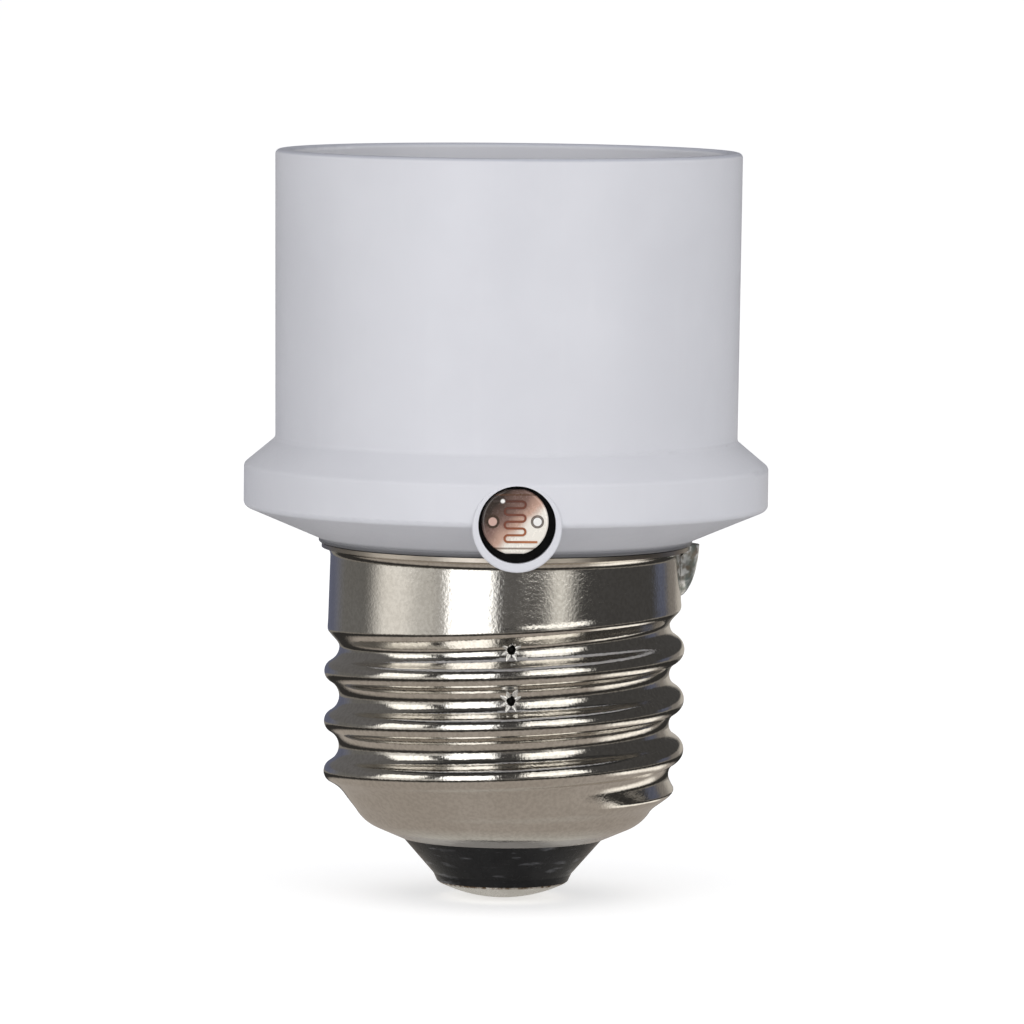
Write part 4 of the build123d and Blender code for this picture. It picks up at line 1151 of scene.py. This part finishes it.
# %% Roll the socket shell
SOCKET_CREST = 12.2 * MM
SOCKET_DEPTH = 1.08 * MM
SOCKET_COLLAR = SOCKET_CREST + 1.1 * MM
SOCKET_FOOT = SOCKET_CREST + 0.2 * MM
SOCKET_COLLAR_HEIGHT = 1.4 * MM
SOCKET_FOOT_HEIGHT = 1.9 * MM
SOCKET_RUN = 1.5 * MM
SOCKET_LIP_BEND = 0.5 * MM
FLANGE_BEND = 0.6 * MM
FLANGE_HOLE = 7.4 * MM
SEAT = 0.03 * MM
socket_low, socket_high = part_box("socket_screw_shell")
FLOOR_Z = socket_low[2] - SEAT
CORE_TOP_Z = socket_high[2] - SHEET - SEAT


def socket_section():
    """Section of the socket shell's inner face from its flange up."""
    turn_z = FLOOR_Z + SEAT + SHEET + FLANGE_BEND
    lip_z = CORE_TOP_Z + SEAT - SOCKET_LIP_BEND
    lip_r = SOCKET_COLLAR + SHEET + SOCKET_LIP_BEND
    middle = (turn_z + lip_z) / 2
    points = [(FLANGE_HOLE, FLOOR_Z + SEAT + SHEET)]
    points += line(points[0], (SOCKET_FOOT - FLANGE_BEND, points[0][1]), 6)
    points += arc((SOCKET_FOOT - FLANGE_BEND, turn_z), FLANGE_BEND, -math.pi / 2, 0.0, 8)
    points += [
        (SOCKET_FOOT if z < middle else SOCKET_COLLAR, z)
        for _, z in line((0, turn_z), (0, lip_z), 112)
    ]
    points += arc((lip_r, lip_z), SOCKET_LIP_BEND + SHEET, math.pi, math.pi / 2, 10)
    points += line(points[-1], (socket_high[0], points[-1][1]), 3)
    return points


def roll_socket():
    """Threaded socket shell in place of its solid."""
    foot = FLOOR_Z + SOCKET_FOOT_HEIGHT
    head = CORE_TOP_Z - SOCKET_COLLAR_HEIGHT
    work = work_object("lamp_screw_shell", [(r, 0, z) for r, z in socket_section()])
    grow(work, "rolled", ROLLED_SHELL, {
        "Pitch": PITCH, "Depth": SOCKET_DEPTH, "Crest Share": CREST_SHARE, "Root Radius": SOCKET_CREST,
        "First Crest": foot, "Upper Start": head - SOCKET_RUN, "Upper End": head, "Upper Climb": 0.0,
        "Lower Start": foot, "Lower End": foot + SOCKET_RUN,
        "Columns": 200, "Material": FINISHES["socket_nickel"],
    })
    sheet = work.modifiers.new("sheet", "SOLIDIFY")
    sheet.thickness = SHEET
    sheet.offset = 1.0
    return harvest(work, "lamp_screw_shell", "socket_nickel")


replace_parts(roll_socket(), "socket_screw_shell")

# %% [markdown]
# ## The springy centre contact
# A bent bronze strip carries the silver button that touches the lamp's tip. Its foot is riveted to the core
# and its tip moves with the button, so the strip must bend. A path with filleted corners, swept with a
# rounded section, gives enough rows to bend smoothly. Rows near an end are drawn in to round its corners.

# %% Contact leaf
LEAF_WIDTH = 4.4 * MM
LEAF_THICK = 0.35 * MM
LEAF_BEND = 0.7 * MM
LEAF_SLOPE_FOOT = 3.6 * MM
LEAF_SLOPE_HEAD = 1.7 * MM


def leaf_tree():
    """Tree that sweeps a flat strip along a path of straight runs."""
    sizes = ("Width", "Thickness", "Bend", "Corner", "Foot", "Tip")
    tree, start = new_tree("bent_strip", "Path", sizes, "Strip")
    path = add_node(tree, "GeometryNodeMeshToCurve")
    tree.links.new(start.outputs["Path"], path.inputs["Mesh"])
    round_off = add_node(tree, "GeometryNodeFilletCurve", mode="POLY")
    round_off.inputs["Count"].default_value = 8
    tree.links.new(path.outputs[0], round_off.inputs["Curve"])
    tree.links.new(start.outputs["Bend"], round_off.inputs["Radius"])
    even = add_node(tree, "GeometryNodeResampleCurve", mode="COUNT")
    even.inputs["Count"].default_value = 96
    tree.links.new(round_off.outputs[0], even.inputs["Curve"])
    section = add_node(tree, "GeometryNodeCurvePrimitiveQuadrilateral", mode="RECTANGLE")
    tree.links.new(start.outputs["Width"], section.inputs["Width"])
    tree.links.new(start.outputs["Thickness"], section.inputs["Height"])
    edge = add_node(tree, "GeometryNodeFilletCurve", mode="POLY")
    edge.inputs["Count"].default_value = 4
    tree.links.new(section.outputs[0], edge.inputs["Curve"])
    feed(tree, edge.inputs["Radius"], calc(tree, "MULTIPLY", start.outputs["Thickness"], 0.3))
    strip = add_node(tree, "GeometryNodeCurveToMesh")
    tree.links.new(even.outputs[0], strip.inputs["Curve"])
    tree.links.new(edge.outputs[0], strip.inputs["Profile Curve"])
    strip.inputs["Fill Caps"].default_value = True
    spot = own_place(tree)
    to_foot = calc(tree, "SUBTRACT", start.outputs["Foot"], spot["Y"])
    to_tip = calc(tree, "SUBTRACT", spot["Y"], start.outputs["Tip"])
    corner = start.outputs["Corner"]
    into = calc(tree, "SUBTRACT", corner, calc(tree, "MINIMUM", to_foot, to_tip))
    into = calc(tree, "MAXIMUM", into, 0.0)
    lost = calc(tree, "SUBTRACT", calc(tree, "MULTIPLY", corner, corner), calc(tree, "MULTIPLY", into, into))
    inset = calc(tree, "SUBTRACT", corner, calc(tree, "SQRT", calc(tree, "MAXIMUM", lost, 0.0)))
    share = calc(tree, "DIVIDE", calc(tree, "MULTIPLY", inset, 2.0), start.outputs["Width"])
    narrow = calc(tree, "SUBTRACT", 1.0, share)
    place = add_node(tree, "ShaderNodeCombineXYZ")
    tree.links.new(calc(tree, "MULTIPLY", spot["X"], narrow), place.inputs["X"])
    tree.links.new(spot["Y"], place.inputs["Y"])
    tree.links.new(spot["Z"], place.inputs["Z"])
    ends = add_node(tree, "GeometryNodeSetPosition")
    tree.links.new(place.outputs[0], ends.inputs["Position"])
    finish_nodes(tree, [strip, ends], start.outputs["Material"])
    return tree


start_finish(
    "spring_bronze", (0.640, 0.440, 0.215), (0.520, 0.335, 0.150), (0.22, 0.34), metallic=1.0, drift=420.0,
    grain=5000.0,
)
BENT_STRIP = leaf_tree()
leaf_low, leaf_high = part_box("contact_leaf")
leaf_run = [(leaf_high[1], 0.0), (LEAF_SLOPE_FOOT, 0.0), (LEAF_SLOPE_HEAD, 1.0), (leaf_low[1], 1.0)]
leaf_rise = leaf_high[2] - leaf_low[2] - LEAF_THICK
leaf_points = [(0, y, leaf_low[2] + LEAF_THICK / 2 + share * leaf_rise) for y, share in leaf_run]
leaf_work = work_object("contact_spring", leaf_points, [(0, 1), (1, 2), (2, 3)])
grow(leaf_work, "strip", BENT_STRIP, {
    "Width": LEAF_WIDTH, "Thickness": LEAF_THICK, "Bend": LEAF_BEND, "Corner": 0.45 * LEAF_WIDTH,
    "Foot": leaf_high[1], "Tip": leaf_low[1], "Material": FINISHES["spring_bronze"],
})
print("leaf rises", round(leaf_rise / MM, 2), "mm")

# %% [markdown]
# The strip follows the core up to its foot and the button from where the slope ends, and bends in between.

# %% The leaf in place of its solid
leaf = harvest(leaf_work, "contact_spring", "spring_bronze", body=None)
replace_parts(leaf, "contact_leaf")
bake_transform(leaf)
print(
    "leaf bends between y", round(leaf_points[1][1] / MM, 2), "and", round(leaf_points[2][1] / MM, 2), "mm",
)

# %% [markdown]
# ## Black insulator and tip
# Under the shell sits a glossy black cone, scratched round by every lamp holder it has met, and a tinned
# tip. The scratches run level, so they are drawn out across the axis. A brown line of flux and tarnish
# stays on the tip's upper edge, which only needs the height on the piece.

# %% Insulator and tip
RUB_GREY = (0.16, 0.16, 0.17)
FLUX_BROWN = (0.16, 0.10, 0.05)
TIP_EDGE_Z = 1.2 * MM
tree, place, shader, colour, _ = start_finish(
    "black_insulator", (0.021, 0.021, 0.022), (0.014, 0.014, 0.015), (0.16, 0.30), drift=500.0, grain=3000.0,
)
rubs = use_group(tree, SCRATCHES, position=place, stretch=(0.30, 0.30, 1.6), scale=1300.0, cover=1.6)
faint = calc(tree, "MULTIPLY", rubs.outputs["Mask"], 0.5)
feed(tree, shader.inputs["Base Color"], mix_colour(tree, faint, colour, rgba(RUB_GREY)))
shader.inputs["Specular IOR Level"].default_value = 0.12
dress("base_insulator", "black_insulator")

tip_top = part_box("base_contact")[1][2]
tree, place, shader, colour, _ = start_finish(
    "contact_metal", (0.900, 0.885, 0.850), (0.780, 0.760, 0.720), (0.24, 0.38), metallic=0.85, drift=380.0,
    grain=3600.0, bump=0.000006,
)
height = parts_of(tree, place)["Z"]
flux = remap(tree, height, TIP_EDGE_Z - 0.24 * MM, TIP_EDGE_Z - 0.06 * MM, smooth=True)
burnt = remap(tree, noise(tree, place, 2600.0, 4.0), 0.42, 0.58, 0.25, 1.0)
flux = calc(tree, "MULTIPLY", flux, burnt)
feed(tree, shader.inputs["Base Color"], mix_colour(tree, flux, colour, rgba(FLUX_BROWN)))
dress("base_contact", "contact_metal")
print("tip edge at", round(TIP_EDGE_Z / MM, 2), "mm of", round(tip_top / MM, 2))

# %% [markdown]
# ## Solder and wires
# Solder cools with a glossy skin that is wavy rather than grainy, and flux tints it brown and green in
# places. Large soft bumps make the waves. Its tone drifts between near-white patches, which are painted
# glints, and grey ones, and a second drift mixes the tint. The wires and the small joints on the board use
# the same start with other values.

# %% Solder and wires
STAIN_BROWN = (0.20, 0.15, 0.10)
STAIN_GREEN = (0.16, 0.21, 0.19)


def solder(name, bump):
    """Wavy bright solder with painted glints and a tint of flux."""
    # Painted glints: the near-white patches of the tone drift stand in for highlights.
    tree, place, shader, colour, _ = start_finish(
        name, (0.930, 0.930, 0.900), (0.340, 0.345, 0.320), (0.08, 0.18), metallic=0.45, drift=1300.0,
        grain=1500.0, coarse=0.8, bump=bump,
    )
    stain = use_group(
        tree, DRIFT, position=place, pale=rgba(STAIN_BROWN), deep=rgba(STAIN_GREEN), scale=1100.0,
    )
    patch = remap(tree, noise(tree, place, 1500.0), 0.42, 0.64, 0.0, 0.85, smooth=True)
    feed(tree, shader.inputs["Base Color"], mix_colour(tree, patch, colour, stain.outputs["Color"]))


solder("side_solder", 0.00006)
solder("board_solder", 0.00001)
start_finish(
    "tinned_wire", (0.640, 0.620, 0.580), (0.520, 0.500, 0.460), (0.22, 0.36), metallic=1.0, drift=600.0,
    grain=7000.0,
)
for wire in ("neutral_lead", "switched_lead", "socket_neutral_lead"):
    dress(wire, "tinned_wire")
dress("side_solder", "side_solder")
dress("board_solder", "board_solder")
print("solder and wires done")

# %% [markdown]
# ## The photocell
# The cell is a ceramic disc with a metal film, and a red-brown serpentine shows where the film was left
# away. Across the film runs a painted reflection, near white at one side and dark brown at the other. Dark
# rings of resin lie round the two lead heads, and a line crosses the disc near its top and bottom. All of it
# depends on the place on the disc, so the pattern is centred on the solid with a Mapping node and drawn from
# distances.

# %% Photocell film
cell_low, cell_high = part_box("photocell")
cell_centre = [(a + b) / 2 for a, b in zip(cell_low, cell_high)]
CELL_HALF = (cell_high[0] - cell_low[0]) / 2
LEAD_SIDE = 1.565 * MM
CHORD_LEVEL = 1.88 * MM
FLECK_PLACE = (-0.87 * MM, 1.43 * MM)
FLECK_WHITE = (0.950, 0.930, 0.900)
RING_RESIN = (0.07, 0.045, 0.03)
HEAD_RESIN = (0.055, 0.035, 0.025)
HEAD_PINK = (0.600, 0.400, 0.340)
CHORD_BROWN = (0.12, 0.06, 0.035)


def centred(tree, place, centre):
    """Position measured from a point."""
    shift = add_node(tree, "ShaderNodeMapping")
    tree.links.new(place, shift.inputs["Vector"])
    shift.inputs["Location"].default_value = [-v for v in centre]
    return shift.outputs[0]


def painted_reflection_across(tree, spot, direction, reach):
    """Share from 0 to 1 across a disc along a direction."""
    along = add_node(tree, "ShaderNodeVectorMath", operation="DOT_PRODUCT")
    tree.links.new(spot, along.inputs[0])
    along.inputs[1].default_value = direction
    return remap(tree, along.outputs["Value"], -reach, reach)


def disc_distance(tree, spot, x, z):
    """Distance on the disc's face from a point of it."""
    gap = add_node(tree, "ShaderNodeVectorMath", operation="DISTANCE")
    tree.links.new(flattened(tree, spot, (1.0, 0.0, 1.0)), gap.inputs[0])
    gap.inputs[1].default_value = (x, 0.0, z)
    return gap.outputs["Value"]


def band_mask(tree, value, middle, half):
    """1 where a value is near a middle, falling off over its half width."""
    off = calc(tree, "ABSOLUTE", calc(tree, "SUBTRACT", value, middle))
    return remap(tree, off, half, 0.45 * half, smooth=True)


def ramp(tree, factor, stops):
    """Colour ramp through (position, colour) stops."""
    node = add_node(tree, "ShaderNodeValToRGB")
    while len(node.color_ramp.elements) < len(stops):
        node.color_ramp.elements.new(0.5)
    for element, (position, stop) in zip(node.color_ramp.elements, stops):
        element.position = position
        element.color = rgba(stop)
    tree.links.new(factor, node.inputs[0])
    return node.outputs[0]


def fleck_mask(tree, spot):
    """Small bare spot near the end of the track."""
    return remap(tree, disc_distance(tree, spot, *FLECK_PLACE), 0.20 * MM, 0.10 * MM, smooth=True)


def cell_film():
    """Film on the photocell's face, with a painted reflection across it."""
    tree, place, shader, _, _ = start_finish(
        "cell_ceramic", (0.50, 0.30, 0.22), (0.42, 0.24, 0.17), (0.18, 0.30), drift=900.0, grain=6000.0,
    )
    spot = centred(tree, place, cell_centre)
    # Painted reflection: the film runs from dark brown at the upper left to near white at the lower right.
    share = painted_reflection_across(tree, spot, (0.70, 0.0, -0.71), CELL_HALF)
    reflection_share = calc(tree, "MULTIPLY_ADD", calc(tree, "SUBTRACT", noise(tree, place, 700.0), 0.5), 0.30, share)
    film = ramp(
        tree, reflection_share,
        [
            (0.12, (0.045, 0.032, 0.026)), (0.36, (0.25, 0.152, 0.125)), (0.56, (0.62, 0.400, 0.310)),
            (0.72, (0.98, 0.93, 0.84)),
        ],
    )
    for side, width in ((-1, 0.09 * MM), (1, 0.06 * MM)):
        ring = band_mask(tree, disc_distance(tree, spot, side * LEAD_SIDE, 0.0), 0.42 * MM, width)
        film = mix_colour(tree, calc(tree, "MULTIPLY", ring, 0.85), film, rgba(RING_RESIN))
    level = calc(tree, "ABSOLUTE", parts_of(tree, spot)["Z"])
    chord = band_mask(tree, level, CHORD_LEVEL, 0.09 * MM)
    film = mix_colour(tree, calc(tree, "MULTIPLY", chord, 0.75), film, rgba(CHORD_BROWN))
    film = mix_colour(tree, fleck_mask(tree, spot), film, rgba(FLECK_WHITE))
    feed(tree, shader.inputs["Base Color"], film)
    shader.inputs["Metallic"].default_value = 0.10
    shader.inputs["Coat Weight"].default_value = 0.5
    shader.inputs["Coat Roughness"].default_value = 0.08


def lead_heads():
    """Bright lead heads with resin round their edges."""
    tree, place, shader, colour, _ = start_finish(
        "cell_lead_metal", (0.900, 0.890, 0.860), (0.820, 0.800, 0.770), (0.30, 0.42), metallic=0.0,
        drift=900.0, grain=7000.0,
    )
    spot = centred(tree, place, cell_centre)
    gaps = [disc_distance(tree, spot, side * LEAD_SIDE, 0.0) for side in (-1, 1)]
    resin = remap(tree, calc(tree, "MINIMUM", *gaps), 0.27 * MM, 0.33 * MM, 0.0, 1.0, smooth=True)
    left = remap(tree, gaps[0], LEAD_SIDE, 0.5 * LEAD_SIDE)
    colour = mix_colour(tree, left, colour, rgba(HEAD_PINK))
    feed(tree, shader.inputs["Base Color"], mix_colour(tree, resin, colour, rgba(HEAD_RESIN)))
    shader.inputs["Specular IOR Level"].default_value = 0.15


cell_film()
lead_heads()
dress("photocell", "cell_ceramic")
dress("cell_leads", "cell_lead_metal")
print("cell centre", [round(v / MM, 2) for v in cell_centre], "mm")

# %% [markdown]
# The serpentine and the sleeve finish the sensor. The track carries the same painted reflection as the film,
# darkest where the film is dark, so its colour follows the same direction, its first end is lost in the
# film's painted dark, and the bare fleck goes over it. The sleeve is dull and painted near black as the shade
# in the gap round the cell.

# %% Track and sleeve
TRACK_START = (-1.45 * MM, 1.43 * MM)
FILM_REFLECTION_DARK = (0.050, 0.036, 0.030)
tree, place, shader, _, _ = start_finish(
    "cell_track", (0.30, 0.10, 0.05), (0.24, 0.075, 0.04), (0.30, 0.45), drift=900.0, grain=7000.0,
)
spot = centred(tree, place, cell_centre)
# Painted reflection: the track's colour follows the film's dark-to-bright direction.
share = painted_reflection_across(tree, spot, (0.45, 0.0, -0.89), CELL_HALF)
track_reflection_stops = [(0.15, (0.075, 0.030, 0.022)), (0.50, (0.20, 0.060, 0.035)), (0.85, (0.42, 0.150, 0.060))]
colour = ramp(tree, share, track_reflection_stops)
# The track's first end fades into the film's painted dark reflection.
dark_reflection_end = remap(tree, disc_distance(tree, spot, *TRACK_START), 0.62 * MM, 0.50 * MM)
colour = mix_colour(tree, dark_reflection_end, colour, rgba(FILM_REFLECTION_DARK))
feed(tree, shader.inputs["Base Color"], mix_colour(tree, fleck_mask(tree, spot), colour, rgba(FLECK_WHITE)))
# Painted shade: the sleeve's near-black colour stands for the shade in the gap round the cell.
_, _, shader, _, _ = start_finish(
    "black_sleeve", (0.003, 0.003, 0.003), (0.002, 0.002, 0.002), (0.60, 0.80), drift=600.0, grain=5000.0,
)
shader.inputs["Specular IOR Level"].default_value = 0.12
dress("cell_track", "cell_track")
dress("cell_sleeve", "black_sleeve")
print("sensor done")

# %% [markdown]
# ## Inside the lamp well and under the board
# Rivets, button and the parts on the board are seldom seen, but the lamp well shows some of them and the
# part can be taken apart. Each gets the finish of its real material: brass, silver, brown paper laminate,
# lacquer, dipped epoxy and black moulding.

# %% Small metal parts
start_finish(
    "rivet_brass", (0.660, 0.500, 0.220), (0.560, 0.400, 0.160), (0.20, 0.34), metallic=1.0, drift=500.0,
    grain=5200.0,
)
start_finish(
    "button_metal", (0.760, 0.750, 0.720), (0.640, 0.625, 0.590), (0.18, 0.30), metallic=1.0, drift=700.0,
    grain=5200.0,
)
dress("shell_rivets", "rivet_brass")
dress("leaf_rivet", "rivet_brass")
dress("contact_button", "button_metal")
print("rivets and button done")

# %% [markdown]
# The laminate shows paper fibres as long scratches, and the lacquered bodies are glossy with a soft drift.

# %% Board and its parts
FIBRE_PALE = (0.58, 0.42, 0.22)
tree, place, shader, colour, _ = start_finish(
    "board", (0.420, 0.270, 0.115), (0.330, 0.200, 0.080), (0.40, 0.55), drift=260.0, grain=3800.0,
)
fibres = use_group(tree, SCRATCHES, position=place, stretch=(0.2, 3.0, 1.0), scale=800.0, cover=0.8)
faint = calc(tree, "MULTIPLY", fibres.outputs["Mask"], 0.35)
feed(tree, shader.inputs["Base Color"], mix_colour(tree, faint, colour, rgba(FIBRE_PALE)))
LACQUERS = {
    "resistor_body": ((0.560, 0.400, 0.220), (0.480, 0.330, 0.170), (0.18, 0.30)),
    "diac_body": ((0.070, 0.130, 0.320), (0.050, 0.100, 0.260), (0.10, 0.20)),
    "capacitor_body": ((0.330, 0.045, 0.028), (0.270, 0.035, 0.022), (0.15, 0.28)),
    "triac_body": ((0.022, 0.022, 0.023), (0.015, 0.015, 0.016), (0.42, 0.60)),
    "line_cover": ((0.420, 0.022, 0.016), (0.360, 0.018, 0.013), (0.30, 0.44)),
}
for lacquer, (pale, deep, rough) in LACQUERS.items():
    start_finish(lacquer, pale, deep, rough, drift=300.0, grain=2600.0)
BOARD_PARTS = {
    "circuit_board": "board",
    "gate_resistor": "resistor_body",
    "divider_resistor": "resistor_body",
    "diac": "diac_body",
    "film_capacitor": "capacitor_body",
    "triac": "triac_body",
    "line_lead": "line_cover",
}
for part, finish in BOARD_PARTS.items():
    dress(part, finish)
print("board parts:", len(BOARD_PARTS))
